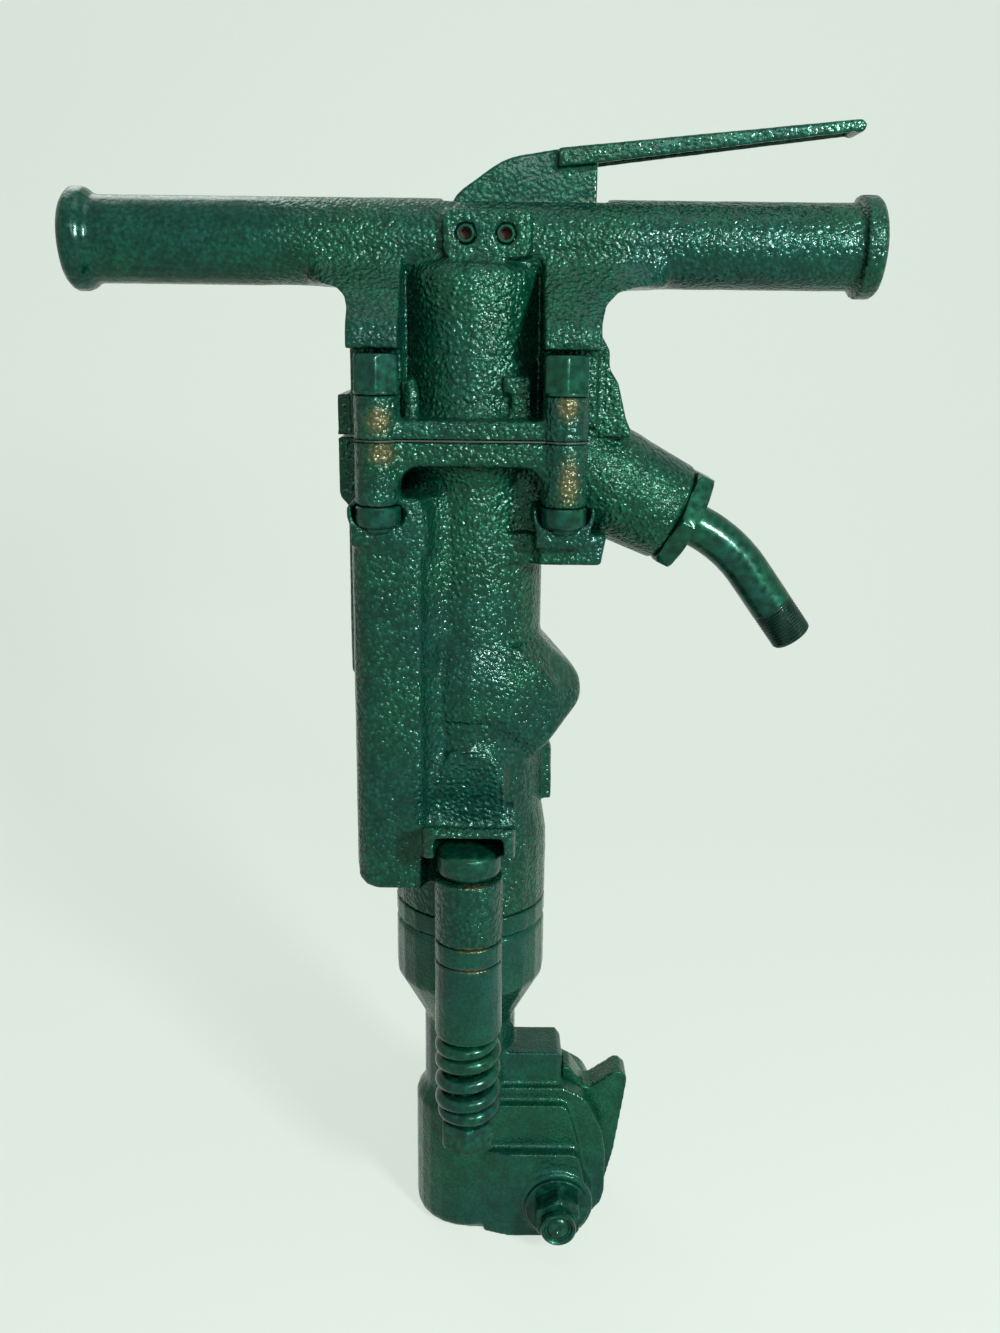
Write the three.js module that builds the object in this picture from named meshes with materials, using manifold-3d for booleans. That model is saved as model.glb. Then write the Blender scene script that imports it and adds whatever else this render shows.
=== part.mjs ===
// A pneumatic paving breaker: a T handled backhead with its throttle, a cylinder with an exhaust box,
// and a front head with a latch, held together by four bolts and two sprung side rods.
// Millimetres, +Z up, +X toward the throttle lever's end, -Y the side with the pad.
// The origin is the centre of the front head's bottom face, where the tool enters.

import * as THREE from 'three';
import { mergeVertices } from 'three/addons/utils/BufferGeometryUtils.js';
import Module from 'manifold-3d';

const wasm = await Module();
wasm.setup();

// Fits and facets shared by all pieces
const seatGap = 0.3;
const slideGap = 0.5;
const castGap = 1;
const cutOverrun = 3;
const weldTolerance = 0.0005;
const springEndGap = 0.7;
const roundSegments = 24;
const smallSegments = 14;
const holeSegments = 12;
const latchBoreSegments = 16;
const innerSegments = 22;
const filletSteps = 3;
const chamferedRound = 4;

// Levels where the castings meet, up from the bottom of the front head
const headTop = 226;
const bushFlangeThickness = 13.4;
const cylinderLength = 299.6;
const gasketThickness = 0.9;
const backheadFlangeThickness = 10.6;
const handleRise = 108.4;

const cylinderBottom = headTop + bushFlangeThickness + 2 * seatGap;
const cylinderTop = cylinderBottom + cylinderLength;
const backheadBottom = cylinderTop + gasketThickness + 2 * seatGap;
const backheadFlangeTop = backheadBottom + backheadFlangeThickness;
const handleLevel = backheadBottom + handleRise;

// Front head
const headBodyRadius = 37;
const headBodyHeight = 90;
const headBodyRound = 9;
const headFootRound = 7;
const hexChamfer = 1.5;
const neckRadius = 31;
const neckTop = 153;
const neckFlareSlope = 1.8;
const headCollarRadius = 49.4;
const headCollarEdge = 3;

// Tool socket and its bush
const collarCupRadius = 25.5;
const collarCupDepth = 76;
const bushRadius = 23.3;
const bushLength = 74;
const shankAcrossFlats = 32.5;
const shankPassageRadius = 19.5;

// Side rods, one in front and one behind
const rodOffset = 68;
const rodRadius = 9;
const rodHoleRadius = 9.8;
const rodHeadRadius = 19.4;
const rodHeadHeight = 17.5;
const rodHeadRound = 6;
const rodHeadEdge = 3;
const rodSleeveRadius = 21.2;
const rodWebWidth = 34;
const headSleeveHeight = 52;
const cylinderSleeveHeight = 41;
const rodSpringHeight = 60;
const rodSpringWire = 10;
const rodSpringTurns = 4;
const rodNutAcrossFlats = 32;
const rodNutHeight = 19;
const rodEndLength = 6;

// Latch, its bolt and its housing on the front head
const latchPivotX = 60;
const latchPivotZ = 27;
const latchWidth = 22;
const latchSlotWidth = 23.6;
const latchHubRadius = 24;
const latchNoseReach = 43;
const latchNoseHeight = 22;
const latchShoulderReach = 72;
const latchShoulderWidth = 14;
const latchCrestHeight = 85;
const latchTabHeight = 83;
const latchTabReach = 49;
const latchTabRound = 3;
const valleyReachShare = 0.42;
const valleyHeightShare = 0.81;
const tabFaceShare = 0.86;
const tabEdgeShare = 0.92;
const tabRootShare = 0.84;
const hubCrownShare = 0.8;
const hubFlankShare = 1.48;
const hubSideShare = 0.85;
const hubFootShare = 0.98;
const hubHeelShare = 0.7;
const latchBoltRadius = 9.5;
const latchBoltHeadHeight = 11;
const latchBoltEndLength = 8;
const latchNutAcrossFlats = 28.6;
const latchNutHeight = 10;
const latchNutCollarRadius = 13;
const latchNutCollarHeight = 4;
const latchWasherRadius = 21.5;
const latchWasherThickness = 2.5;
const latchBossRadius = 24.7;
const latchBossDepth = 90;
const latchBossProud = 3;
const housingLowDepth = latchBossDepth - 2 * latchBossProud;
const housingLowHeight = 64.5;
const housingLowLeft = 10;
const housingLowShoulder = 26;
const housingLowRight = 74;
const housingLowFootRight = 82;
const housingMidDepth = 66;
const housingMidHeight = 96;
const housingMidRight = 66;
const housingMidFootRight = 75;
const cheekDepth = 52;
const cheekReach = 94;
const cheekTop = 105;
const cheekTopRight = 64;
const cheekShoulderX = 80;
const cheekShoulderZ = 96;
const cheekKneeX = 91;
const cheekKneeZ = 72;
const cheekRound = 16;
const housingRound = 7;
const plungerX = 50;
const plungerRadius = 6.2;
const plungerLength = 13;
const plungerBoxHalfWidth = 13;
const plungerBoxFront = 20;
const plungerBoxRear = 15;
const plungerBoxTop = 128;
const plungerSpringLength = 11;
const plungerSpringWire = 1.6;
const plungerSpringTurns = 3;

// Anvil, its bush and the piston
const anvilBushSpigotRadius = 36;
const anvilBushSpigotHeight = 45;
const anvilStemRadius = 17;
const anvilStemLength = 21;
const anvilHeadRadius = 24;
const anvilHeadHeight = 60;
const anvilNoseRadius = 18;
const anvilNoseHeight = 10;
const anvilTravel = 5;
const pistonRadius = 28.2;
const pistonHeadHeight = 50;
const pistonStemRadius = 17;
const pistonStemHeight = 30;
const pistonEdge = 2;

// Cylinder
const boreClearance = 0.4;
const barrelRadius = 43.5;
const skirtRadius = 49.4;
const skirtHeight = 45;
const skirtShoulder = 20;
const beltRadius = 48;
const beltTop = 417;
const beltFull = 396;
const beltBottom = 372;
const beltFoot = 366;
const lowBarrelRadius = 46;
const wingReach = 69.5;
const wingDepth = 94;
const wingPlanReach = 73;
const wingShoulder = 64;
const wingLow = 377;
const wingFoot = 330;
const wingFootX = 27;
const wingFootDepth = 50;
const wingRound = 5;
const wingPlanSteps = 8;
const ribReach = 52;
const ribWidth = 16;
const ribTop = 345;
const ribBottom = 307;
const padWidth = 44;
const padHeight = 52;
const padBottom = 302;
const padFront = 49;
const padRound = 19;
const padFrameWidth = 3;
const padFrameDepth = 1.2;
const hoodWidth = 56;
const hoodBack = 60;
const hoodFront = 86;
const hoodFoot = 8;
const hoodCheek = 17.5;
const hoodRoom = 31;
const hoodTop = 36;
const hoodRound = 4;
const ledgeStart = 36;
const ledgeReach = 80;
const ledgeDepth = 90;
const ledgeTop = 485.7;
const ledgeHeight = 18.5;
const ledgeSlant = 3.5;
const cylinderFlangeThickness = 14;
const neckBlockHalfDepth = 36;
const archRound = 10;

// Exhaust box
const boxLeft = 70;
const boxRight = 26;
const boxHalfDepth = 58;
const boxBottom = 266;
const boxTop = 508;
const boxRound = 14;
const boxFootRound = 12;
const boxWall = 8;
const boxTopRound = 6;
const lobeShare = 0.85;
const exhaustPortRadius = 10;
const exhaustPortLevel = 392;
const exhaustWindowHalfWidth = 18;
const exhaustWindowHeight = 60;
const exhaustWindowBottom = 320;
const sideRibReach = 78;
const sideRibHalfDepth = 32;
const sideRibBottom = 505;
const sideRibSlimReach = 73;
const sideRibFoot = 396;

// Valve chest
const chestRadius = 33;
const chestDepth = 35;
const valveBoxHeight = 21.5;
const valveBoxPortRadius = 12;
const valveRecessRadius = 27;
const valveRecessDepth = 5.5;
const valveDiscRadius = 26;
const valveDiscPortRadius = 7;
const valveDiscThickness = 2.5;
const valveDiscLift = 1.2;
const valveCapPortRadius = 10;

// Backhead bolts, two in front and two behind
const boltX = 53;
const boltY = 55;
const boltRadius = 7.9;
const boltHoleRadius = 8.5;
const boltHeadAcrossFlats = 24.5;
const boltHeadHeight = 22;
const boltWasherHeight = 2;
const boltBossRadius = 13.5;
const boltBossRise = 13.8;
const boltBossDrop = 22.1;
const boltNutHeight = 12.5;
const boltEndLength = 3;

// Backhead
const flangeHalfWidth = 64;
const inletClearShare = 0.8;
const flangeHalfDepth = 62;
const flangeRound = 12;
const columnRadius = 43;
const columnUpperRadius = 42;
const columnStep = 44;
const columnTop = 93.4;
const columnCavityRadius = 22;
const columnCavityHeight = 59.4;
const plugX = 34.5;
const plugY = 42;
const plugRadius = 4.2;
const plugHeight = 19;
const stopLeft = 18;
const stopRight = 28;
const stopFront = 42;
const stopBottom = 25;
const stopHeight = 9;
const legInner = 40;
const legFoot = 49;
const legFlareTop = 83.4;
const leftLegOuter = 70;
const leftLegRound = 25;
const rightLegOuter = 72.5;
const rightLegRound = 40;
const legHalfDepth = 61;
const legCoreHalfDepth = 37;
const legKneeRise = 12;
const legKneeRound = 16;
const legShoulderRise = 36;
const legTopHalfDepth = 24;
const legFlareHalfDepth = 20;
const earReach = 93;
const earFoot = 4;
const earHipReach = 90;
const earBulgeReach = 85;
const earBulgeLevel = 31;
const earWaistReach = 79.5;
const earWaistLevel = 39;
const earHalfDepth = 31;
const backRibReach = 78;
const backRibHeight = 23.4;

// Grips
const gripRadius = 25;
const handleHalfLength = 236;
const gripCollarRadius = 29.5;
const gripCollarWidth = 13;
const gripCollarRound = 4;
const gripCollarFillet = 3;

// Throttle lever, its pins and their boss
const pivotPinX = -4;
const stopPinX = 18.6;
const pinLevel = 3.5;
const pinRadius = 5.5;
const pinBoreRadius = 3.2;
const pinSlotWidth = 2;
const pinBossLeft = -17;
const pinBossRight = 33;
const pinBossBottom = -10;
const pinBossTop = 17;
const pinBossFront = 32;
const pinBossRound = 5;
const pinLength = 63.4;
const leverWebThickness = 15;
const leverSlotWidth = 16.4;
const leverHubRadius = 11;
const leverWebRight = 71;
const leverHeel = 15.5;
const leverRestSlope = 0.1;
const leverArmWidth = 25;
const leverArmStart = 48;
const leverArmTip = 222;
const leverArmTop = 51.5;
const leverArmThickness = 10.5;
const leverTipThickness = 6.5;
const leverArmWall = 4;
const leverTipRound = 3;
const leverArch = 40;
const leverToe = 9;
const leverToeShare = 0.42;
const leverTravel = 0.126;
const leverSlotRight = 77;
const leverSlotShallow = 1;

// Throttle valve
const throttleX = 50;
const throttleStemRadius = 4.2;
const throttleHeadRadius = 8.6;
const throttleHeadHeight = 12;
const throttleBoreRadius = 9.2;
const throttleBoreDepth = 55;
const throttleSeatHeight = 17.5;
const throttleSpringLength = 23;
const throttleSpringWire = 2;
const throttleSpringTurns = 5;
const airPassageRadius = 5.5;
const airPassageLevel = 55.4;

// Inlet, measured along its own axis from the end face of the barrel
const inletX = 123.5;
const inletZ = 492.5;
const inletSlope = 26 * THREE.MathUtils.DEG2RAD;
const inletEndRadius = 31;
const inletRootRadius = 36.5;
const inletLength = 84;
const inletRim = 2;
const inletBoreRadius = 24.3;
const inletBoreDepth = 30;
const inletPassageRadius = 15;
const inletPassageDepth = 82;
const inletNutAcrossFlats = 59;
const inletNutThickness = 12;
const inletNutChamfer = 2;
const inletNutSpigot = 22;
const inletNutSpigotRadius = 24;
const inletNutLip = 3;
const pipeRadius = 13.35;
const pipeBoreRadius = 10.5;
const pipeHoleRadius = 13.9;
const pipeCollarRadius = 19.5;
const pipeCollarSeatRadius = 20;
const pipeStraight = 4;
const pipeBendRadius = 94;
const pipeBend = 28 * THREE.MathUtils.DEG2RAD;
const pipeEndLength = 51;
const pipeSegments = 12;
const sealInnerRadius = 12;
const strainerRadius = 14.2;
const strainerTipRadius = 9;
const strainerLength = 34;
const strainerWall = 1.2;

// Materials
const green = new THREE.Color(0x14553f);
const paint = new THREE.MeshStandardMaterial({ color: green, roughness: 0.35, metalness: 0.1 });
const paintedSteel = new THREE.MeshStandardMaterial({ color: 0x1a4d3b, roughness: 0.4, metalness: 0.3 });
const steel = new THREE.MeshStandardMaterial({ color: 0x8a8d8f, roughness: 0.4, metalness: 0.9 });
const pinSteel = new THREE.MeshStandardMaterial({ color: 0x4d3f33, roughness: 0.6, metalness: 0.6 });
const bronze = new THREE.MeshStandardMaterial({ color: 0x9a7b4a, roughness: 0.5, metalness: 0.8 });
const fibre = new THREE.MeshStandardMaterial({ color: 0x8c7440, roughness: 0.8, metalness: 0 });
const rubber = new THREE.MeshStandardMaterial({ color: 0x1c1c1c, roughness: 0.9, metalness: 0 });

// Corners [across, up, radius] become points, with an arc wherever a radius is given, and a chamfer
// where that radius is a small one.
function outline(corners) {
  return corners.flatMap(([x, y, radius = 0], index) => {
    const corner = new THREE.Vector2(x, y);
    if (radius === 0) {
      return [corner];
    }
    const [beforeX, beforeY] = corners.at(index - 1);
    const [afterX, afterY] = corners[(index + 1) % corners.length];
    const toBefore = new THREE.Vector2(beforeX, beforeY).sub(corner);
    const toAfter = new THREE.Vector2(afterX, afterY).sub(corner);
    const room = Math.min(toBefore.length(), toAfter.length()) / 2;
    toBefore.normalize();
    toAfter.normalize();
    const half = Math.acos(THREE.MathUtils.clamp(toBefore.dot(toAfter), -1, 1)) / 2;
    const reach = Math.min(radius / Math.tan(half), room);
    const round = reach * Math.tan(half);
    const inward = toBefore.clone().add(toAfter).normalize();
    const centre = corner.clone().addScaledVector(inward, round / Math.sin(half));
    const start = corner.clone().addScaledVector(toBefore, reach).sub(centre).angle();
    const end = corner.clone().addScaledVector(toAfter, reach).sub(centre).angle();
    const turn = THREE.MathUtils.euclideanModulo(end - start + Math.PI, 2 * Math.PI) - Math.PI;
    const steps = radius > chamferedRound ? filletSteps : 1;
    return Array.from({ length: steps + 1 }, (_, step) => {
      const angle = start + (turn * step) / steps;
      return new THREE.Vector2(Math.cos(angle), Math.sin(angle)).multiplyScalar(round).add(centre);
    });
  });
}

// Points on an arc, from one angle to another.
function arcCorners(x, y, radius, from, to, steps) {
  return Array.from({ length: steps + 1 }, (_, step) => {
    const angle = from + ((to - from) * step) / steps;
    return [x + radius * Math.cos(angle), y + radius * Math.sin(angle)];
  });
}

// A closed geometry as a solid for joining and cutting.
function toSolid(geometry) {
  geometry.deleteAttribute('normal');
  geometry.deleteAttribute('uv');
  const welded = mergeVertices(geometry, weldTolerance);
  const index = welded.index.array;
  const triVerts = [];
  for (let i = 0; i < index.length; i += 3) {
    const [a, b, c] = [index[i], index[i + 1], index[i + 2]];
    if (a !== b && b !== c && c !== a) {
      triVerts.push(a, b, c);
    }
  }
  return new wasm.Manifold(new wasm.Mesh({
    numProp: 3,
    vertProperties: new Float32Array(welded.attributes.position.array),
    triVerts: new Uint32Array(triVerts),
  }));
}

// Extrusions along each axis: the outline is [x, y], [x, z] or [y, z].
function extruded(corners, depth) {
  return new THREE.ExtrudeGeometry(new THREE.Shape(outline(corners)), { depth, bevelEnabled: false });
}

function prismZ(corners, from, to) {
  return toSolid(extruded(corners, to - from).translate(0, 0, from));
}

function prismY(corners, from, to) {
  return toSolid(extruded(corners, to - from).rotateX(Math.PI / 2).translate(0, to, 0));
}

function prismX(corners, from, to) {
  const basis = new THREE.Matrix4().set(0, 0, 1, from, 1, 0, 0, 0, 0, 1, 0, 0, 0, 0, 0, 1);
  return toSolid(extruded(corners, to - from).applyMatrix4(basis));
}

// A turned piece about an axis along Z: its profile is [radius, height], anticlockwise.
function turnedGeometry(corners, segments) {
  const points = outline(corners);
  const first = points[0];
  const onAxis = first.x === 0 && points.at(-1).x === 0;
  const profile = onAxis ? points : [...points, first.clone()];
  return new THREE.LatheGeometry(profile, segments).rotateX(Math.PI / 2);
}

function turned(corners, segments = roundSegments, x = 0, y = 0) {
  return toSolid(turnedGeometry(corners, segments).translate(x, y, 0));
}

function rodCorners(radius, from, to) {
  return [[0, from], [radius, from], [radius, to], [0, to]];
}

function tubeCorners(inner, outer, from, to) {
  return [[inner, from], [outer, from], [outer, to], [inner, to]];
}

function rod(radius, from, to, x = 0, y = 0, segments = roundSegments) {
  return turned(rodCorners(radius, from, to), segments, x, y);
}

function tube(inner, outer, from, to, segments = roundSegments) {
  return turned(tubeCorners(inner, outer, from, to), segments);
}

// A round bar along Y through a point of the XZ plane.
function crossRod(radius, x, z, from, to, segments = roundSegments) {
  const geometry = turnedGeometry(rodCorners(radius, from, to), segments);
  return toSolid(geometry.rotateX(-Math.PI / 2).translate(x, 0, z));
}

function box(left, right, front, rear, bottom, top) {
  return prismZ([[left, front], [right, front], [right, rear], [left, rear]], bottom, top);
}

function rectangle(left, right, bottom, top, round) {
  return [[left, bottom, round], [right, bottom, round], [right, top, round], [left, top, round]];
}

function hexCorners(acrossFlats) {
  const radius = acrossFlats / Math.sqrt(3);
  const phase = Math.PI / 6;
  return arcCorners(0, 0, radius, phase, phase + (5 * Math.PI) / 3, 5);
}

// A hexagonal bar whose ends are chamfered as a turned blank would be.
function hexBar(acrossFlats, from, to, chamfer) {
  const radius = acrossFlats / Math.sqrt(3);
  const blank = [[0, from], [radius - chamfer, from], [radius, from + chamfer]];
  const bar = prismZ(hexCorners(acrossFlats), from, to);
  return bar.intersect(turned([...blank, [radius, to - chamfer], [radius - chamfer, to], [0, to]]));
}

// An unbroken wound wire from one height to another, its end turns closed up to the wire.
function springGeometry(meanRadius, wire, turns, from, to) {
  const stepsPerTurn = 8;
  const sides = 5;
  const steps = turns * stepsPerTurn;
  const endPitch = wire + springEndGap;
  const rise = to - from - wire;
  const freePitch = (rise - 2 * endPitch) / (turns - 2);
  const heightAt = (turn) => {
    const low = Math.min(turn, 1) * endPitch;
    const middle = THREE.MathUtils.clamp(turn - 1, 0, turns - 2) * freePitch;
    const high = Math.max(turn - (turns - 1), 0) * endPitch;
    return from + wire / 2 + low + middle + high;
  };
  const centres = Array.from({ length: steps + 1 }, (_, step) => {
    const angle = (2 * Math.PI * step) / stepsPerTurn;
    const height = heightAt(step / stepsPerTurn);
    return new THREE.Vector3(meanRadius * Math.cos(angle), meanRadius * Math.sin(angle), height);
  });
  const points = centres.flatMap((centre, step) => {
    const angle = (2 * Math.PI * step) / stepsPerTurn;
    return Array.from({ length: sides }, (_, side) => {
      const round = (2 * Math.PI * side) / sides + Math.PI / 2;
      const outward = (Math.cos(round) * wire) / 2;
      const upward = (Math.sin(round) * wire) / 2;
      return [
        centre.x + outward * Math.cos(angle),
        centre.y + outward * Math.sin(angle),
        centre.z + upward,
      ];
    });
  });
  const faces = [];
  for (let step = 0; step < steps; step += 1) {
    for (let side = 0; side < sides; side += 1) {
      const next = (side + 1) % sides;
      const [a, b] = [step * sides + side, step * sides + next];
      const [c, d] = [a + sides, b + sides];
      faces.push(a, c, b, b, c, d);
    }
  }
  for (let side = 1; side < sides - 1; side += 1) {
    faces.push(0, side, side + 1);
    faces.push(steps * sides, steps * sides + side + 1, steps * sides + side);
  }
  const geometry = new THREE.BufferGeometry();
  geometry.setAttribute('position', new THREE.Float32BufferAttribute(points.flat(), 3));
  geometry.setIndex(faces);
  geometry.userData.centres = centres;
  return geometry;
}

// The least air between a spring's turns, half a turn or more apart along the wire.
function leastSelfGap(geometry, wire) {
  const { centres } = geometry.userData;
  const apart = 5;
  let least = Infinity;
  centres.forEach((centre, i) => {
    centres.slice(i + apart).forEach((other) => {
      least = Math.min(least, centre.distanceTo(other) - wire);
    });
  });
  return least;
}

const breaker = new THREE.Group();

// Adds a solid as a named mesh, placed in its parent group.
function add(name, solid, material, parent = breaker, position = [0, 0, 0]) {
  const { vertProperties, triVerts } = solid.getMesh();
  const geometry = new THREE.BufferGeometry();
  geometry.setAttribute('position', new THREE.Float32BufferAttribute(vertProperties, 3));
  geometry.setIndex([...triVerts]);
  return addGeometry(name, geometry, material, parent, position);
}

function addGeometry(name, geometry, material, parent, position) {
  geometry.computeVertexNormals();
  const mesh = new THREE.Mesh(geometry, material);
  mesh.name = name;
  mesh.position.set(...position);
  parent.add(mesh);
  return mesh;
}

function addSpring(name, meanRadius, wire, turns, length, position) {
  const geometry = springGeometry(meanRadius, wire, turns, 0, length);
  console.log(`${name}: least gap between turns ${leastSelfGap(geometry, wire).toFixed(2)} mm`);
  addGeometry(name, geometry, paintedSteel, breaker, position);
}

// The inlet's frame: +Z out of the barrel, with its origin at the centre of the end face.
const inletFrame = new THREE.Group();
inletFrame.position.set(inletX, 0, inletZ);
inletFrame.rotation.y = Math.PI / 2 + inletSlope;
inletFrame.updateMatrix();
breaker.add(inletFrame);

function inletSolid(corners, segments = roundSegments) {
  return toSolid(turnedGeometry(corners, segments).applyMatrix4(inletFrame.matrix));
}

const sides = [{ name: 'front', sign: -1 }, { name: 'rear', sign: 1 }];
const rodHoles = sides.map(({ sign }) => sign * rodOffset);
const boltPlaces = [[-boltX, -boltY], [boltX, -boltY], [boltX, boltY], [-boltX, boltY]];

// Latch outline about its bolt: nose into the socket, shoulder under the plunger, crest and foot tab.
function latchCorners() {
  const noseHalf = latchNoseHeight / 2;
  const noseAngle = Math.asin(noseHalf / latchNoseReach);
  const nose = arcCorners(0, 0, latchNoseReach, Math.PI + noseAngle, Math.PI - noseAngle, 4);
  const shoulderRight = latchShoulderWidth / 4;
  const shoulderFrom = Math.acos(-latchShoulderWidth / latchShoulderReach);
  const shoulderTo = Math.acos(shoulderRight / latchShoulderReach);
  const crestRight = latchCrestHeight / 10;
  const valleyX = latchTabReach * valleyReachShare;
  const valleyZ = latchTabHeight * valleyHeightShare;
  return [
    ...nose,
    [-latchShoulderWidth * 3 / 2, latchNoseHeight, latchNoseHeight / 4],
    [-latchShoulderWidth, latchShoulderReach / 2],
    ...arcCorners(0, 0, latchShoulderReach, shoulderFrom, shoulderTo, 4),
    [shoulderRight, latchCrestHeight],
    [crestRight, latchCrestHeight],
    [valleyX, valleyZ, latchTabRound],
    [latchTabReach * tabFaceShare, latchTabHeight, latchTabRound],
    [latchTabReach, latchTabHeight * tabEdgeShare, latchTabRound],
    [latchTabReach * tabRootShare, latchHubRadius * hubCrownShare, latchHubRadius],
    [latchHubRadius * hubFlankShare, -latchHubRadius / 5, latchHubRadius / 2],
    [latchHubRadius * hubSideShare, -latchHubRadius * hubFootShare, latchHubRadius / 2],
    [-latchHubRadius * hubHeelShare, -latchHubRadius * hubFootShare, latchHubRadius / 2],
  ];
}

function frontHead() {
  const flare = neckTop + (headCollarRadius - neckRadius) * neckFlareSlope;
  let head = turned([
    [0, 0],
    [headBodyRadius, 0, headFootRound],
    [headBodyRadius, headBodyHeight, headBodyRound],
    [neckRadius, headBodyHeight + headBodyRound, headBodyRound],
    [neckRadius, neckTop, headBodyRound],
    [headCollarRadius, flare, headBodyRound],
    [headCollarRadius, headTop - headCollarEdge],
    [headCollarRadius - headCollarEdge, headTop],
    [0, headTop],
  ]);
  rodHoles.forEach((y) => {
    const sleeveBottom = headTop - headSleeveHeight;
    head = head.add(rod(rodSleeveRadius, sleeveBottom, headTop, 0, y));
    head = head.add(prismX([
      [0, sleeveBottom],
      [y, sleeveBottom],
      [y, headTop - headCollarEdge],
      [0, headTop - headCollarEdge],
    ], -rodWebWidth / 2, rodWebWidth / 2));
  });
  const low = [
    [housingLowLeft, 0],
    [latchPivotX, 0],
    [housingLowFootRight, latchPivotZ / 4, latchPivotZ / 2],
    [housingLowFootRight, latchPivotZ, latchPivotZ / 2],
    [housingLowRight, housingLowHeight, housingRound],
    [housingLowLeft, housingLowHeight, housingRound],
  ];
  const lowHalf = housingLowDepth / 2;
  const lowPlan = [
    [0, -neckRadius],
    [housingLowLeft, -headBodyRadius],
    [housingLowShoulder, -lowHalf, housingRound],
    [housingLowFootRight, -lowHalf],
    [housingLowFootRight, lowHalf],
    [housingLowShoulder, lowHalf, housingRound],
    [housingLowLeft, headBodyRadius],
    [0, neckRadius],
  ];
  const mid = [
    [0, 0],
    [housingMidFootRight, 0],
    [housingMidFootRight, housingLowHeight],
    [housingMidRight, housingMidHeight, housingRound],
    [0, housingMidHeight],
  ];
  const cheek = [
    [0, latchPivotZ / 4],
    [latchPivotX, 0],
    [cheekReach, latchPivotZ / 4, latchPivotZ],
    [cheekReach, latchPivotZ * 2, latchPivotZ],
    [cheekKneeX, cheekKneeZ, cheekRound],
    [cheekShoulderX, cheekShoulderZ, cheekRound],
    [cheekTopRight, cheekTop],
    [0, cheekTop],
  ];
  const plungerBoxLeft = plungerX - plungerBoxHalfWidth;
  const plungerBoxRight = plungerX + plungerBoxHalfWidth;
  head = head
    .add(prismY(low, -lowHalf, lowHalf).intersect(prismZ(lowPlan, 0, housingLowHeight)))
    .add(prismY(mid, -housingMidDepth / 2, housingMidDepth / 2))
    .add(prismY(cheek, -cheekDepth / 2, cheekDepth / 2))
    .add(crossRod(latchBossRadius, latchPivotX, latchPivotZ, -latchBossDepth / 2, latchBossDepth / 2))
    .add(prismZ([
      [0, -plungerBoxFront],
      [plungerBoxRight, -plungerBoxFront, housingRound / 2],
      [plungerBoxRight, plungerBoxRear, housingRound / 2],
      [0, plungerBoxRear],
    ], housingMidHeight - housingRound, plungerBoxTop).intersect(prismY([
      [0, housingMidHeight - housingRound],
      [plungerBoxRight, housingMidHeight - housingRound],
      [plungerBoxRight, plungerBoxTop, housingRound / 2],
      [plungerBoxLeft, plungerBoxTop, housingRound / 2],
      [neckRadius - housingRound, plungerBoxTop + housingRound],
      [0, plungerBoxTop + housingRound],
    ], -plungerBoxFront, plungerBoxRear)));
  const bushSeat = collarCupDepth;
  const bushTop = bushSeat + bushLength + seatGap;
  head = head
    .subtract(rod(collarCupRadius, -cutOverrun, bushSeat))
    .subtract(rod(bushRadius + seatGap, bushSeat - cutOverrun, bushTop))
    .subtract(rod(shankPassageRadius, bushTop - cutOverrun, headTop + cutOverrun));
  rodHoles.forEach((y) => {
    head = head.subtract(rod(rodHoleRadius, neckTop, headTop + cutOverrun, 0, y, holeSegments));
  });
  const slotHalf = latchSlotWidth / 2;
  const slotLeft = latchPivotX - latchShoulderWidth - castGap * 2;
  const slotTop = latchPivotZ + latchShoulderReach + castGap;
  const sweep = crossRod(latchNoseReach + castGap, latchPivotX, latchPivotZ, -slotHalf, slotHalf);
  const slotReach = cheekReach + cutOverrun;
  return head
    .subtract(sweep)
    .subtract(box(slotLeft, slotReach, -slotHalf, slotHalf, latchPivotZ, slotTop))
    .subtract(box(plungerBoxRight, slotReach, -slotHalf, slotHalf, latchPivotZ, cheekTop + cutOverrun))
    .subtract(box(latchPivotX, slotReach, -slotHalf, slotHalf, -cutOverrun, slotTop))
    .subtract(crossRod(latchBoltRadius + seatGap, latchPivotX, latchPivotZ,
      -latchBossDepth, latchBossDepth, smallSegments))
    .subtract(rod(plungerRadius + seatGap, slotTop - cutOverrun, plungerBoxTop - housingRound / 2,
      plungerX, 0, smallSegments));
}

function toolBush() {
  const from = collarCupDepth + seatGap;
  const to = from + bushLength - seatGap;
  return rod(bushRadius, from, to).subtract(
    prismZ(hexCorners(shankAcrossFlats), from - cutOverrun, to + cutOverrun));
}

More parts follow.
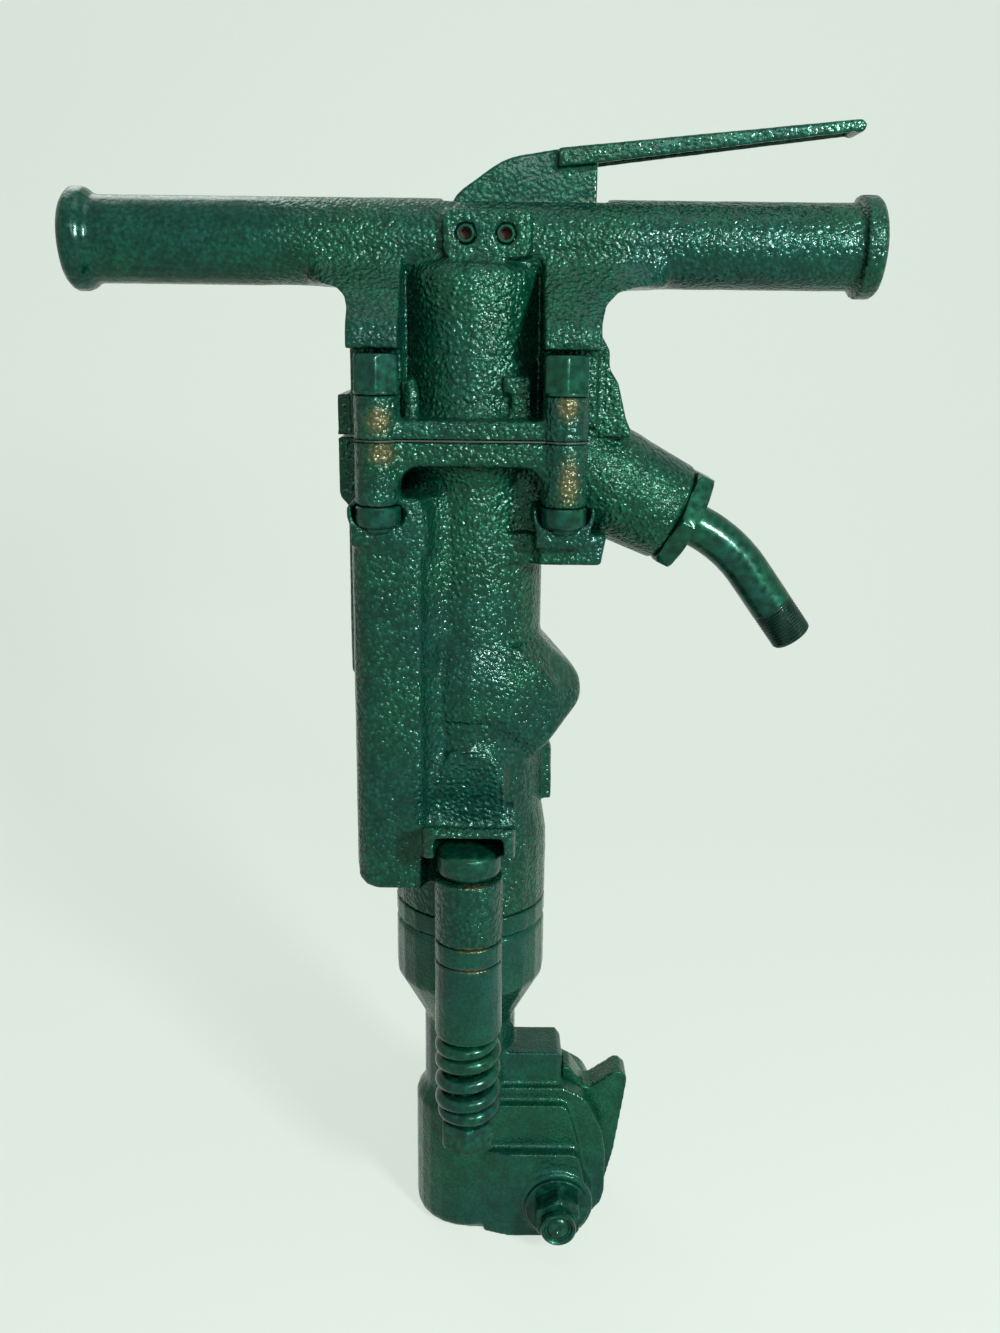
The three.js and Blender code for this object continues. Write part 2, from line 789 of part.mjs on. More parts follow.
function addLatch() {
  const half = latchWidth / 2;
  const latch = prismY(latchCorners(), -half, half)
    .subtract(crossRod(latchBoltRadius + seatGap, 0, 0, -latchWidth, latchWidth, latchBoreSegments));
  add('latch', latch, paint, breaker, [latchPivotX, 0, latchPivotZ]);

  const washerSeat = latchBossDepth / 2 + seatGap;
  const nutSeat = washerSeat + latchWasherThickness + seatGap;
  sides.forEach(({ name, sign }) => {
    const washer = tube(latchBoltRadius + seatGap, latchWasherRadius, 0, latchWasherThickness,
      innerSegments);
    const geometry = add(`latch_washer_${name}`, washer, paintedSteel);
    geometry.rotation.x = -sign * Math.PI / 2;
    geometry.position.set(latchPivotX, sign * washerSeat, latchPivotZ);
  });
  const nutEnd = nutSeat + latchNutHeight + latchNutCollarHeight;
  const bolt = rod(latchBoltRadius, -nutSeat, nutEnd + latchBoltEndLength, 0, 0, smallSegments)
    .add(hexBar(latchNutAcrossFlats, -nutSeat - latchBoltHeadHeight, -nutSeat, hexChamfer));
  const nut = hexBar(latchNutAcrossFlats, nutSeat, nutSeat + latchNutHeight, hexChamfer)
    .add(rod(latchNutCollarRadius, nutSeat, nutEnd, 0, 0, smallSegments))
    .subtract(rod(latchBoltRadius + seatGap, 0, nutEnd + cutOverrun, 0, 0, smallSegments));
  [['latch_bolt', bolt], ['latch_nut', nut]].forEach(([name, solid]) => {
    const mesh = add(name, solid, paintedSteel, breaker, [latchPivotX, 0, latchPivotZ]);
    mesh.rotation.x = Math.PI / 2;
  });

  const plungerBottom = latchPivotZ + latchShoulderReach + seatGap;
  const plunger = turned([
    [0, 0],
    [plungerRadius, 0, plungerRadius / 3],
    [plungerRadius, plungerLength],
    [0, plungerLength],
  ], smallSegments);
  add('latch_plunger', plunger, steel, breaker, [plungerX, 0, plungerBottom]);
  addSpring('latch_spring', plungerRadius - plungerSpringWire, plungerSpringWire, plungerSpringTurns,
    plungerSpringLength, [plungerX, 0, plungerBottom + plungerLength + seatGap]);
}

function anvilBush() {
  const bottom = headTop + seatGap;
  const flangeTop = bottom + bushFlangeThickness;
  const spigotTop = flangeTop + anvilBushSpigotHeight;
  const seat = flangeTop - bushFlangeThickness / 4;
  let bush = turned([
    [0, bottom],
    [headCollarRadius, bottom],
    [headCollarRadius, flangeTop],
    [anvilBushSpigotRadius, flangeTop],
    [anvilBushSpigotRadius, spigotTop],
    [0, spigotTop],
  ]);
  rodHoles.forEach((y) => {
    bush = bush
      .add(rod(rodSleeveRadius, bottom, flangeTop, 0, y))
      .add(box(-rodWebWidth / 2, rodWebWidth / 2, Math.min(0, y), Math.max(0, y), bottom, flangeTop))
      .subtract(rod(rodHoleRadius, bottom - cutOverrun, flangeTop + cutOverrun, 0, y, holeSegments));
  });
  return bush
    .subtract(rod(anvilHeadRadius + boreClearance, seat, spigotTop + cutOverrun))
    .subtract(rod(anvilStemRadius + boreClearance, bottom - cutOverrun, seat + cutOverrun));
}

const anvilSeat = headTop + seatGap + (bushFlangeThickness * 3) / 4;
const anvilTop = anvilSeat + seatGap + anvilHeadHeight + anvilNoseHeight;
const pistonBottom = anvilTop + anvilTravel + seatGap;

function anvil() {
  const seat = anvilSeat + seatGap;
  const stemBottom = seat - anvilStemLength;
  return turned([
    [0, stemBottom],
    [anvilStemRadius, stemBottom, pistonEdge],
    [anvilStemRadius, seat],
    [anvilHeadRadius, seat],
    [anvilHeadRadius, seat + anvilHeadHeight, pistonEdge],
    [anvilNoseRadius, seat + anvilHeadHeight],
    [anvilNoseRadius, anvilTop, pistonEdge],
    [0, anvilTop],
  ], innerSegments);
}

function piston() {
  const headBottom = pistonBottom + pistonStemHeight;
  const headTopLevel = headBottom + pistonHeadHeight;
  return turned([
    [0, pistonBottom],
    [pistonStemRadius, pistonBottom, pistonEdge],
    [pistonStemRadius, headBottom],
    [pistonRadius, headBottom, pistonEdge],
    [pistonRadius, headTopLevel, pistonEdge],
    [0, headTopLevel],
  ], innerSegments);
}

// The inlet barrel with room round it, as the cylinder casting must leave free.
function inletBarrel(room) {
  return inletSolid([
    [0, -inletLength - room],
    [inletRootRadius + room, -inletLength - room],
    [inletEndRadius + room, 0],
    [0, 0],
  ]);
}

function bossColumn(x, y, from, to) {
  return rod(boltBossRadius, from, to, x, y, smallSegments);
}

function flangeCorners() {
  return rectangle(-flangeHalfWidth, flangeHalfWidth, -flangeHalfDepth, flangeHalfDepth, flangeRound);
}

function exhaustBox() {
  const plan = rectangle(-boxLeft, 0, -boxHalfDepth, boxHalfDepth, boxRound);
  const face = [
    [-boxLeft, boxBottom, boxFootRound],
    [0, boxBottom, boxFootRound],
    [0, boxTop],
    [-boxLeft, boxTop, boxTopRound],
  ];
  const taper = barrelRadius - boxRight;
  return prismZ(plan, boxBottom, boxTop)
    .intersect(prismY(face, -boxHalfDepth, boxHalfDepth))
    .subtract(prismZ([
      [-boxRight - taper / 4, -boxHalfDepth - cutOverrun],
      [cutOverrun, -boxHalfDepth - cutOverrun],
      [cutOverrun, -barrelRadius / 2],
      [-boxRight + taper, -barrelRadius * lobeShare],
      [-boxRight, taper / 2 - boxHalfDepth, taper / 2],
    ], boxBottom - cutOverrun, boxTop + cutOverrun))
    .subtract(prismZ([
      [-boxRight - taper / 4, boxHalfDepth + cutOverrun],
      [-boxRight, boxHalfDepth - taper / 2, taper / 2],
      [-boxRight + taper, barrelRadius * lobeShare],
      [cutOverrun, barrelRadius / 2],
      [cutOverrun, boxHalfDepth + cutOverrun],
    ], boxBottom - cutOverrun, boxTop + cutOverrun));
}

function cylinder() {
  const skirtTop = cylinderBottom + skirtHeight;
  const flangeBottom = cylinderTop - cylinderFlangeThickness;
  const bossBottom = flangeBottom - boltBossDrop;
  const sleeveTop = cylinderBottom + cylinderSleeveHeight;
  let body = turned([
    [0, cylinderBottom],
    [skirtRadius, cylinderBottom],
    [skirtRadius, skirtTop, headBodyRound],
    [lowBarrelRadius, skirtTop + skirtShoulder, headBodyRound],
    [lowBarrelRadius, beltFoot],
    [beltRadius, beltBottom],
    [beltRadius, beltFull, headBodyRound],
    [barrelRadius, beltTop, headBodyRound],
    [barrelRadius, flangeBottom - flangeRound, flangeRound],
    [flangeHalfDepth - flangeRound, flangeBottom],
    [flangeHalfDepth - flangeRound, cylinderTop],
    [0, cylinderTop],
  ]);
  body = body.add(exhaustBox());
  body = body.add(prismZ(flangeCorners(), flangeBottom, cylinderTop));

  // Wing of the belt, a full depth ridge to the right
  const wingFace = [
    [0, wingFoot],
    [wingFootX, wingFoot],
    [wingReach, wingLow, wingRound],
    [wingReach, beltFull - castGap * 9, wingRound],
    [wingShoulder, beltFull, wingRound],
    [barrelRadius, beltTop],
    [0, beltTop],
  ];
  const wingPlan = Array.from({ length: wingPlanSteps + 1 }, (_, step) => {
    const angle = Math.PI * (step / wingPlanSteps - 1 / 2);
    return [wingPlanReach * Math.cos(angle), (wingDepth / 2) * Math.sin(angle)];
  });
  const wingSide = [
    [-wingFootDepth / 2, wingFoot],
    [wingFootDepth / 2, wingFoot],
    [wingDepth / 2, beltBottom],
    [wingDepth / 2, beltTop],
    [-wingDepth / 2, beltTop],
    [-wingDepth / 2, beltBottom],
  ];
  body = body.add(prismY(wingFace, -wingDepth / 2, wingDepth / 2)
    .intersect(prismZ(wingPlan, wingFoot, beltTop))
    .intersect(prismX(wingSide, 0, wingReach)));

  // Low rib, ledge, pad and the hoods over the rod heads
  const ledgeBottom = ledgeTop - ledgeHeight;
  body = body
    .add(box(0, ribReach, -ribWidth / 2, ribWidth / 2, ribBottom, ribTop))
    .add(prismY([
      [0, ledgeBottom],
      [ledgeReach - ledgeSlant, ledgeBottom],
      [ledgeReach, ledgeTop],
      [0, ledgeTop],
    ], -ledgeDepth / 2, ledgeDepth / 2).intersect(prismZ([
      [0, wingRound - ledgeDepth / 2],
      [ledgeStart, wingRound - ledgeDepth / 2],
      [ledgeStart + wingRound, -ledgeDepth / 2],
      [ledgeReach, -ledgeDepth / 2, wingRound],
      [ledgeReach, ledgeDepth / 2, wingRound],
      [ledgeStart + wingRound, ledgeDepth / 2],
      [ledgeStart, ledgeDepth / 2 - wingRound],
      [0, ledgeDepth / 2 - wingRound],
    ], ledgeBottom, ledgeTop)))
    .add(prismY(rectangle(-padWidth / 2, padWidth / 2, padBottom, padBottom + padHeight, padRound),
      -padFront, 0))
    .subtract(prismY(rectangle(padFrameWidth - padWidth / 2, padWidth / 2 - padFrameWidth,
      padBottom + padFrameWidth, padBottom + padHeight - padFrameWidth, padRound - padFrameWidth),
    -padFront - cutOverrun, -padFront + padFrameDepth));
  sides.forEach(({ sign }) => {
    const y = sign * rodOffset;
    const hoodSide = [
      [0, sleeveTop + hoodFoot],
      [sign * hoodBack, sleeveTop + hoodFoot],
      [sign * hoodFront, sleeveTop + hoodCheek],
      [sign * hoodFront, sleeveTop + hoodTop, hoodRound],
      [0, sleeveTop + hoodTop],
    ];
    const hoodPlan = [
      [-hoodWidth / 2, 0],
      [-hoodWidth / 2, sign * hoodFront, hoodRound * 2],
      [hoodWidth / 2, sign * hoodFront, hoodRound * 2],
      [hoodWidth / 2, 0],
    ];
    body = body
      .add(rod(rodSleeveRadius, cylinderBottom, sleeveTop, 0, y))
      .add(box(-rodWebWidth / 2, rodWebWidth / 2, Math.min(0, y), Math.max(0, y),
        cylinderBottom, sleeveTop))
      .add(prismX(hoodSide, -hoodWidth / 2, hoodWidth / 2)
        .intersect(prismZ(hoodPlan, sleeveTop, sleeveTop + hoodTop)));
  });
  sides.forEach(({ sign }) => {
    const y = sign * rodOffset;
    const headRoom = rodHeadRadius + castGap;
    body = body
      .subtract(rod(headRoom, sleeveTop, sleeveTop + hoodRoom, 0, y))
      .subtract(box(-headRoom, headRoom, Math.min(y, y * 2), Math.max(y, y * 2), sleeveTop,
        sleeveTop + hoodRoom))
      .subtract(rod(rodHoleRadius, cylinderBottom - cutOverrun, sleeveTop + cutOverrun, 0, y,
        holeSegments));
  });

  body = body.add(box(0, flangeHalfWidth, -neckBlockHalfDepth, neckBlockHalfDepth, ledgeTop - castGap,
    flangeBottom + castGap));

  // Bolt bosses, with a pocket in the exhaust box for each left nut
  boltPlaces.forEach(([x, y]) => {
    const nutFloor = bossBottom - boltNutHeight - boltEndLength - castGap;
    body = body
      .subtract(rod(boltBossRadius + castGap, nutFloor, bossBottom + castGap, x, y, smallSegments))
      .subtract(box(Math.min(x, x * 2), Math.max(x, x * 2), Math.min(y, y * 2), Math.max(y, y * 2),
        nutFloor, flangeBottom - seatGap));
  });
  boltPlaces.forEach(([x, y]) => {
    const inward = -Math.sign(x);
    const web = x + inward * (boltBossRadius - castGap);
    const arch = prismY([
      [x, flangeBottom + castGap],
      [web + inward * archRound, flangeBottom + castGap],
      [web + inward * archRound, flangeBottom],
      [web, flangeBottom, archRound],
      [web, flangeBottom - archRound],
      [x, flangeBottom - archRound],
    ], Math.min(y, Math.sign(y) * flangeHalfDepth), Math.max(y, Math.sign(y) * flangeHalfDepth));
    body = body
      .add(arch)
      .add(bossColumn(x, y, bossBottom, cylinderTop))
      .subtract(rod(boltHoleRadius, bossBottom - cutOverrun, cylinderTop + cutOverrun, x, y,
        holeSegments));
  });
  body = body.add(prismY([
    [-boxLeft + boxRound, sideRibFoot],
    [-sideRibSlimReach, sideRibFoot, wingRound / 2],
    [-sideRibSlimReach, sideRibBottom - wingRound],
    [-sideRibReach, sideRibBottom, wingRound],
    [-sideRibReach, cylinderTop],
    [-boxLeft + boxRound, cylinderTop],
  ], -sideRibHalfDepth, sideRibHalfDepth));

  // Bore, chest, the seat of the anvil bush and the exhaust's way out
  const chestBottom = cylinderTop - chestDepth;
  const bushTop = cylinderBottom + anvilBushSpigotHeight + castGap;
  const boreRadius = pistonRadius + boreClearance;
  const port = turnedGeometry(rodCorners(exhaustPortRadius, 0, boxLeft - boxWall * 2), smallSegments)
    .rotateY(-Math.PI / 2).translate(0, 0, exhaustPortLevel);
  return body
    .subtract(inletBarrel(castGap))
    .subtract(rod(boreRadius, bushTop - cutOverrun, cylinderTop + cutOverrun))
    .subtract(rod(chestRadius, chestBottom, cylinderTop + cutOverrun))
    .subtract(rod(anvilBushSpigotRadius + boreClearance, cylinderBottom - cutOverrun, bushTop))
    .subtract(prismZ([
      [boxWall - boxLeft, boxWall - boxHalfDepth],
      [-boxRight - boxWall / 2, boxWall - boxHalfDepth],
      [-boxRight - boxWall / 2, -barrelRadius + boxWall / 2],
      [-barrelRadius - boxWall / 2, -barrelRadius / 2],
      [-barrelRadius - boxWall / 2, barrelRadius / 2],
      [-boxRight - boxWall / 2, barrelRadius - boxWall / 2],
      [-boxRight - boxWall / 2, boxHalfDepth - boxWall],
      [boxWall - boxLeft, boxHalfDepth - boxWall],
    ], boxBottom + boxWall * 2, ledgeBottom - boxWall))
    .subtract(box(-boxLeft - cutOverrun, boxWall - boxLeft + cutOverrun, -exhaustWindowHalfWidth,
      exhaustWindowHalfWidth, exhaustWindowBottom, exhaustWindowBottom + exhaustWindowHeight))
    .subtract(toSolid(port));
}

function valveBox() {
  const bottom = cylinderTop - chestDepth + seatGap;
  const top = bottom + valveBoxHeight;
  return turned([
    [valveBoxPortRadius, bottom],
    [chestRadius - seatGap, bottom],
    [chestRadius - seatGap, top],
    [valveRecessRadius, top],
    [valveRecessRadius, top - valveRecessDepth],
    [valveBoxPortRadius, top - valveRecessDepth],
  ], innerSegments);
}

function addValve() {
  const boxTopLevel = cylinderTop - chestDepth + seatGap + valveBoxHeight;
  const discBottom = boxTopLevel - valveRecessDepth + seatGap;
  const discTop = discBottom + valveDiscThickness;
  const capBottom = boxTopLevel + seatGap;
  const capTop = cylinderTop - seatGap;
  const spigotBottom = discTop + valveDiscLift + seatGap;
  add('valve_box', valveBox(), steel);
  add('valve_disc', tube(valveDiscPortRadius, valveDiscRadius, discBottom, discTop, innerSegments), steel);
  add('valve_cap', turned([
    [valveCapPortRadius, spigotBottom],
    [valveRecessRadius - seatGap, spigotBottom],
    [valveRecessRadius - seatGap, capBottom],
    [chestRadius - seatGap, capBottom],
    [chestRadius - seatGap, capTop],
    [valveCapPortRadius, capTop],
  ], innerSegments), steel);
}

// The plan of the bolt flange with its four bosses, shared by the gasket
function gasket() {
  const from = cylinderTop + seatGap;
  const to = from + gasketThickness;
  let sheet = prismZ(flangeCorners(), from, to);
  boltPlaces.forEach(([x, y]) => {
    sheet = sheet
      .add(bossColumn(x, y, from, to))
      .subtract(rod(boltHoleRadius, from - cutOverrun, to + cutOverrun, x, y, holeSegments));
  });
  return sheet
    .subtract(inletBarrel(castGap))
    .subtract(rod(chestRadius - castGap, from - cutOverrun, to + cutOverrun));
}

// One leg of the handle, on the left or the right by its sign
function leg(sign, outerReach, flareRound) {
  const foot = backheadBottom + legFoot;
  const knee = foot + legKneeRise;
  const flareLevel = backheadBottom + legFlareTop;
  const inner = sign * legInner;
  const outer = sign * outerReach;
  const flare = sign * (outerReach + flareRound);
  const low = backheadBottom + backheadFlangeThickness / 2;
  const face = [
    [inner, low],
    [outer, low],
    [outer, flareLevel, flareRound],
    [flare, flareLevel],
    [flare, handleLevel],
    [inner, handleLevel],
  ];
  const side = [
    [-legHalfDepth, foot],
    [legHalfDepth, foot],
    [legHalfDepth, knee, legKneeRound],
    [legTopHalfDepth, knee + legShoulderRise, legKneeRound],
    [legTopHalfDepth, handleLevel],
    [-legTopHalfDepth, handleLevel],
    [-legTopHalfDepth, knee + legShoulderRise, legKneeRound],
    [-legHalfDepth, knee, legKneeRound],
  ];
  const plan = [
    [inner, -legHalfDepth],
    [outer, -legHalfDepth],
    [flare, -legFlareHalfDepth],
    [flare, legFlareHalfDepth],
    [outer, legHalfDepth],
    [inner, legHalfDepth],
  ];
  const left = Math.min(inner, flare);
  const right = Math.max(inner, flare);
  const shell = prismX(side, left, right)
    .add(box(left, right, -legCoreHalfDepth, legCoreHalfDepth, low, foot + cutOverrun));
  return prismY(face, -legHalfDepth, legHalfDepth)
    .intersect(shell)
    .intersect(prismZ(plan, low, handleLevel));
}

function pinBoss() {
  const corners = rectangle(pinBossLeft, pinBossRight, handleLevel + pinBossBottom,
    handleLevel + pinBossTop, pinBossRound);
  return prismY(corners, -pinBossFront, pinBossFront);
}

function grips() {
  const profile = [
    [0, -handleHalfLength],
    [gripCollarRadius, -handleHalfLength, gripCollarRound],
    [gripCollarRadius, -handleHalfLength + gripCollarWidth, gripCollarRound],
    [gripRadius, -handleHalfLength + gripCollarWidth + gripCollarFillet, gripCollarFillet],
    [gripRadius, handleHalfLength - gripCollarWidth],
    [gripCollarRadius, handleHalfLength - gripCollarWidth],
    [gripCollarRadius, handleHalfLength, gripCollarFillet],
    [0, handleHalfLength],
  ];
  const bar = turnedGeometry(profile, roundSegments).rotateY(Math.PI / 2);
  return toSolid(bar.translate(0, 0, handleLevel));
}

function backhead() {
  const bossTop = backheadFlangeTop + boltBossRise;
  const stepLevel = backheadBottom + columnStep;
  const columnEnd = backheadBottom + columnTop;
  let body = turned([
    [0, backheadBottom],
    [flangeHalfDepth - flangeRound, backheadBottom],
    [flangeHalfDepth - flangeRound, backheadFlangeTop],
    [columnRadius, backheadFlangeTop],
    [columnRadius, stepLevel],
    [columnUpperRadius, stepLevel + castGap],
    [columnUpperRadius, columnEnd, headBodyRound],
    [gripRadius, columnEnd + headBodyRound],
    [0, columnEnd + headBodyRound],
  ]);
  body = body
    .add(prismZ(flangeCorners(), backheadBottom, backheadFlangeTop))
    .add(leg(1, rightLegOuter, rightLegRound))
    .add(leg(-1, leftLegOuter, leftLegRound))
    .add(grips())
    .add(pinBoss());
  const earTop = backheadBottom + legFoot;
  const earLow = backheadBottom + backheadFlangeThickness;
  body = body
    .add(prismY([
      [legInner, backheadBottom],
      [earReach, backheadBottom],
      [earReach, backheadBottom + earFoot],
      [earHipReach, earLow],
      [earBulgeReach, backheadBottom + earBulgeLevel, wingRound],
      [earWaistReach, backheadBottom + earWaistLevel, wingRound],
      [earWaistReach, earTop, wingRound],
      [rightLegOuter, earTop + legKneeRise],
      [legInner, earTop + legKneeRise],
    ], -earHalfDepth, earHalfDepth))
    .add(box(-backRibReach, -legInner, -sideRibHalfDepth, sideRibHalfDepth, backheadBottom,
      backheadBottom + backRibHeight))
    .add(rod(plugRadius, backheadBottom, backheadFlangeTop + plugHeight, -plugX, -plugY, holeSegments))
    .add(box(stopLeft, stopRight, -stopFront, 0, backheadBottom + stopBottom,
      backheadBottom + stopBottom + stopHeight));
  const barrel = inletSolid([
    [0, -inletLength],
    [inletRootRadius, -inletLength],
    [inletEndRadius, -inletRim],
    [inletEndRadius - inletRim, 0],
    [0, 0],
  ]);
  const clearOfCylinder = flangeHalfWidth * inletClearShare;
  body = body.add(barrel.intersect(
    box(clearOfCylinder, inletX * 2, -gripRadius * 2, gripRadius * 2, 0, handleLevel)));
  boltPlaces.forEach(([x, y]) => {
    body = body
      .add(bossColumn(x, y, backheadBottom, bossTop))
      .subtract(rod(boltHoleRadius, backheadBottom - cutOverrun, bossTop + cutOverrun, x, y,
        holeSegments));
  });

  // Slot of the lever, holes of its pins and the throttle's bore
  const half = leverSlotWidth / 2;
  const top = handleLevel + gripRadius + cutOverrun;
  const heelSwing = (stopPinX - pivotPinX + leverHubRadius) * Math.sin(leverTravel);
  const deepFloor = handleLevel + pinLevel - leverHubRadius - heelSwing - slideGap;
  const shallowFloor = handleLevel + leverSlotShallow;
  const boreBottom = shallowFloor - throttleBoreDepth;
  const passageLevel = backheadBottom + airPassageLevel;
  const cavityTop = backheadBottom + columnCavityHeight;
  const passage = turnedGeometry(rodCorners(airPassageRadius, 0, throttleX), smallSegments)
    .rotateY(Math.PI / 2).translate(0, 0, passageLevel);
  return body
    .subtract(box(pinBossLeft, leverSlotRight, -half, half, shallowFloor, top))
    .subtract(box(pinBossLeft, pinBossRight, -half, half, deepFloor, top))
    .subtract(crossRod(pinRadius + seatGap, pivotPinX, handleLevel + pinLevel, -pinBossFront * 2,
      pinBossFront * 2, smallSegments))
    .subtract(crossRod(pinRadius + seatGap, stopPinX, handleLevel + pinLevel, -pinBossFront * 2,
      pinBossFront * 2, smallSegments))
    .subtract(rod(throttleBoreRadius, boreBottom, shallowFloor + cutOverrun, throttleX, 0,
      smallSegments))
    .subtract(rod(columnCavityRadius, backheadBottom - cutOverrun, cavityTop))
    .subtract(toSolid(passage))
    .subtract(rod(airPassageRadius, inletZ + inletRootRadius, boreBottom + cutOverrun, throttleX, 0,
      smallSegments))
    .subtract(inletSolid(rodCorners(inletBoreRadius, -inletBoreDepth, cutOverrun)))
    .subtract(inletSolid(rodCorners(inletPassageRadius, -inletPassageDepth, cutOverrun), smallSegments));
}

// Lever outline about its pivot pin: hub, web with its arched back, and the long arm.
function leverCorners() {
  const pinDrop = pinLevel;
  const hub = arcCorners(0, 0, leverHubRadius, Math.PI, (3 * Math.PI) / 2, 4);
  const right = leverWebRight - pivotPinX;
  const heel = leverHeel - pinDrop;
  const topAt = (x) => leverArmTop - pinDrop + (x - leverArmStart) * leverRestSlope;
  const tip = leverArmTip - pivotPinX;
  const start = leverArmStart - pivotPinX;
  const underAt = (x, thickness) => topAt(x + pivotPinX) - thickness;
  return [
    ...hub,
    [stopPinX - pivotPinX + leverHubRadius, -leverHubRadius, leverHubRadius / 2],
    [stopPinX - pivotPinX + leverHubRadius, heel, leverHubRadius / 2],
    [right, heel],
    [right, underAt(right, leverArmThickness), leverTipRound],
    [tip, underAt(tip, leverTipThickness), leverTipRound],
    [tip, topAt(leverArmTip), leverTipRound],
    [start, topAt(leverArmStart), leverArch],
    [start * leverToeShare, leverArch + leverToe / 3, leverArch],
    [-leverToe, gripRadius - pinDrop, leverArch],
    [-leverHubRadius, leverHubRadius / 2],
  ];
}

function lever() {
  const web = leverWebThickness / 2;
  const wide = leverArmWidth / 2;
  const start = leverArmStart - pivotPinX;
  const tip = leverArmTip - pivotPinX;
  const topStart = leverArmTop - pinLevel;
  const topTip = topStart + (leverArmTip - leverArmStart) * leverRestSlope;
  const channel = [
    [start + leverArmWall, 0],
    [tip - leverArmWall, 0],
    [tip - leverArmWall, topTip - leverArmWall],
    [start + leverArmWall, topStart - leverArmWall],
  ];
  const armBand = [
    [start, topStart - leverArmThickness],
    [tip + cutOverrun, topTip - leverArmThickness],
    [tip + cutOverrun, topTip + cutOverrun],
    [start, topStart + cutOverrun],
  ];
  const slotRise = (stopPinX - pivotPinX) * Math.sin(leverTravel) + slideGap;
  const stopX = stopPinX - pivotPinX;
  const arm = prismY(leverCorners(), -wide, wide).intersect(prismY(armBand, -wide, wide));
  const stopSlot = prismY([
    [stopX - pinRadius - slideGap, 0],
    [stopX + pinRadius + slideGap, 0],
    [stopX + pinRadius + slideGap, slotRise],
    [stopX - pinRadius - slideGap, slotRise],
  ], -wide, wide)
    .add(crossRod(pinRadius + slideGap, stopX, 0, -wide, wide, smallSegments))
    .add(crossRod(pinRadius + slideGap, stopX, slotRise, -wide, wide, smallSegments));
  return prismY(leverCorners(), -web, web)
    .add(arm)
    .subtract(prismY(channel, leverArmWall - wide, wide - leverArmWall)
      .subtract(prismY([
        [start, 0],
        [leverWebRight - pivotPinX, 0],
        [leverWebRight - pivotPinX, topTip],
        [start, topTip],
      ], -web, web)))
    .subtract(crossRod(pinRadius + slideGap, 0, 0, -wide, wide, smallSegments))
    .subtract(stopSlot);
}

// A roll pin: a tube with a slit along its lower side.
function rollPin() {
  const half = pinLength / 2;
  return tube(pinBoreRadius, pinRadius, -half, half, smallSegments)
    .subtract(box(-pinSlotWidth / 2, pinSlotWidth / 2, 0, pinRadius + cutOverrun,
      -half - cutOverrun, half + cutOverrun));
}

function addThrottle() {
  add('throttle_lever', lever(), paint, breaker, [pivotPinX, 0, handleLevel + pinLevel]);
  [['lever_pivot_pin', pivotPinX], ['lever_stop_pin', stopPinX]].forEach(([name, x]) => {
    const mesh = add(name, rollPin(), pinSteel, breaker, [x, 0, handleLevel + pinLevel]);
    mesh.rotation.x = -Math.PI / 2;
  });
  const slotFloor = handleLevel + leverSlotShallow;
  const seatTop = slotFloor - seatGap;
  const seatBottom = seatTop - throttleSeatHeight;
  const headTopLevel = seatBottom - seatGap;
  const headBottom = headTopLevel - throttleHeadHeight;
  const stemTop = handleLevel + leverHeel - seatGap;
  const seat = tube(throttleStemRadius + seatGap, throttleBoreRadius - seatGap, seatBottom, seatTop,
    smallSegments);
  add('throttle_seat', seat, bronze, breaker, [throttleX, 0, 0]);
  const valve = turned([
    [0, headBottom],
    [throttleHeadRadius, headBottom],
    [throttleHeadRadius, headTopLevel],
    [throttleStemRadius, headTopLevel],
    [throttleStemRadius, stemTop - throttleStemRadius / 3],
    [throttleStemRadius / 3, stemTop],
    [0, stemTop],
  ], smallSegments);
  add('throttle_valve', valve, steel, breaker, [throttleX, 0, 0]);
  addSpring('throttle_spring', throttleHeadRadius - throttleSpringWire, throttleSpringWire,
    throttleSpringTurns, throttleSpringLength,
    [throttleX, 0, headBottom - seatGap - throttleSpringLength]);
}

// The bent pipe: a collar inside the nut, a short straight, the bend and the threaded end.
function inletPipe() {
  const collarBottom = -inletNutSpigot - seatGap;
  const collarTop = -inletNutLip - seatGap;
  const start = new THREE.Vector3(0, 0, collarTop - cutOverrun);
  const bendStart = new THREE.Vector3(0, 0, inletNutThickness + pipeStraight);
  const path = new THREE.CurvePath();
  path.add(new THREE.LineCurve3(start, bendStart));
  const bendPoints = Array.from({ length: 9 }, (_, step) => {
    const angle = (pipeBend * step) / 8;
    const across = pipeBendRadius * (1 - Math.cos(angle));
    return new THREE.Vector3(across, 0, bendStart.z + pipeBendRadius * Math.sin(angle));
  });
  path.add(new THREE.CatmullRomCurve3(bendPoints));
  const bendEnd = bendPoints.at(-1);
  const end = bendEnd.clone().add(
    new THREE.Vector3(Math.sin(pipeBend), 0, Math.cos(pipeBend)).multiplyScalar(pipeEndLength));
  path.add(new THREE.LineCurve3(bendEnd, end));
  const bend = (radius, along) => {
    const section = new THREE.Shape(outline(arcCorners(0, 0, radius, 0,
      2 * Math.PI * (1 - 1 / pipeSegments), pipeSegments - 1)));
    return toSolid(new THREE.ExtrudeGeometry(section, { extrudePath: along, steps: pipeSegments }));
  };
  const bore = new THREE.CurvePath();
  const [first, ...rest] = path.curves;
  const beyond = new THREE.Vector3(Math.sin(pipeBend), 0, Math.cos(pipeBend));
  const boreStart = new THREE.Vector3(0, 0, collarBottom - cutOverrun);
  bore.add(new THREE.LineCurve3(boreStart, first.v2));
  bore.add(rest[0]);
  bore.add(new THREE.LineCurve3(bendEnd, end.clone().addScaledVector(beyond, cutOverrun)));
  return bend(pipeRadius, path)
    .add(rod(pipeCollarRadius, collarBottom, collarTop))
    .subtract(bend(pipeBoreRadius, bore));
}

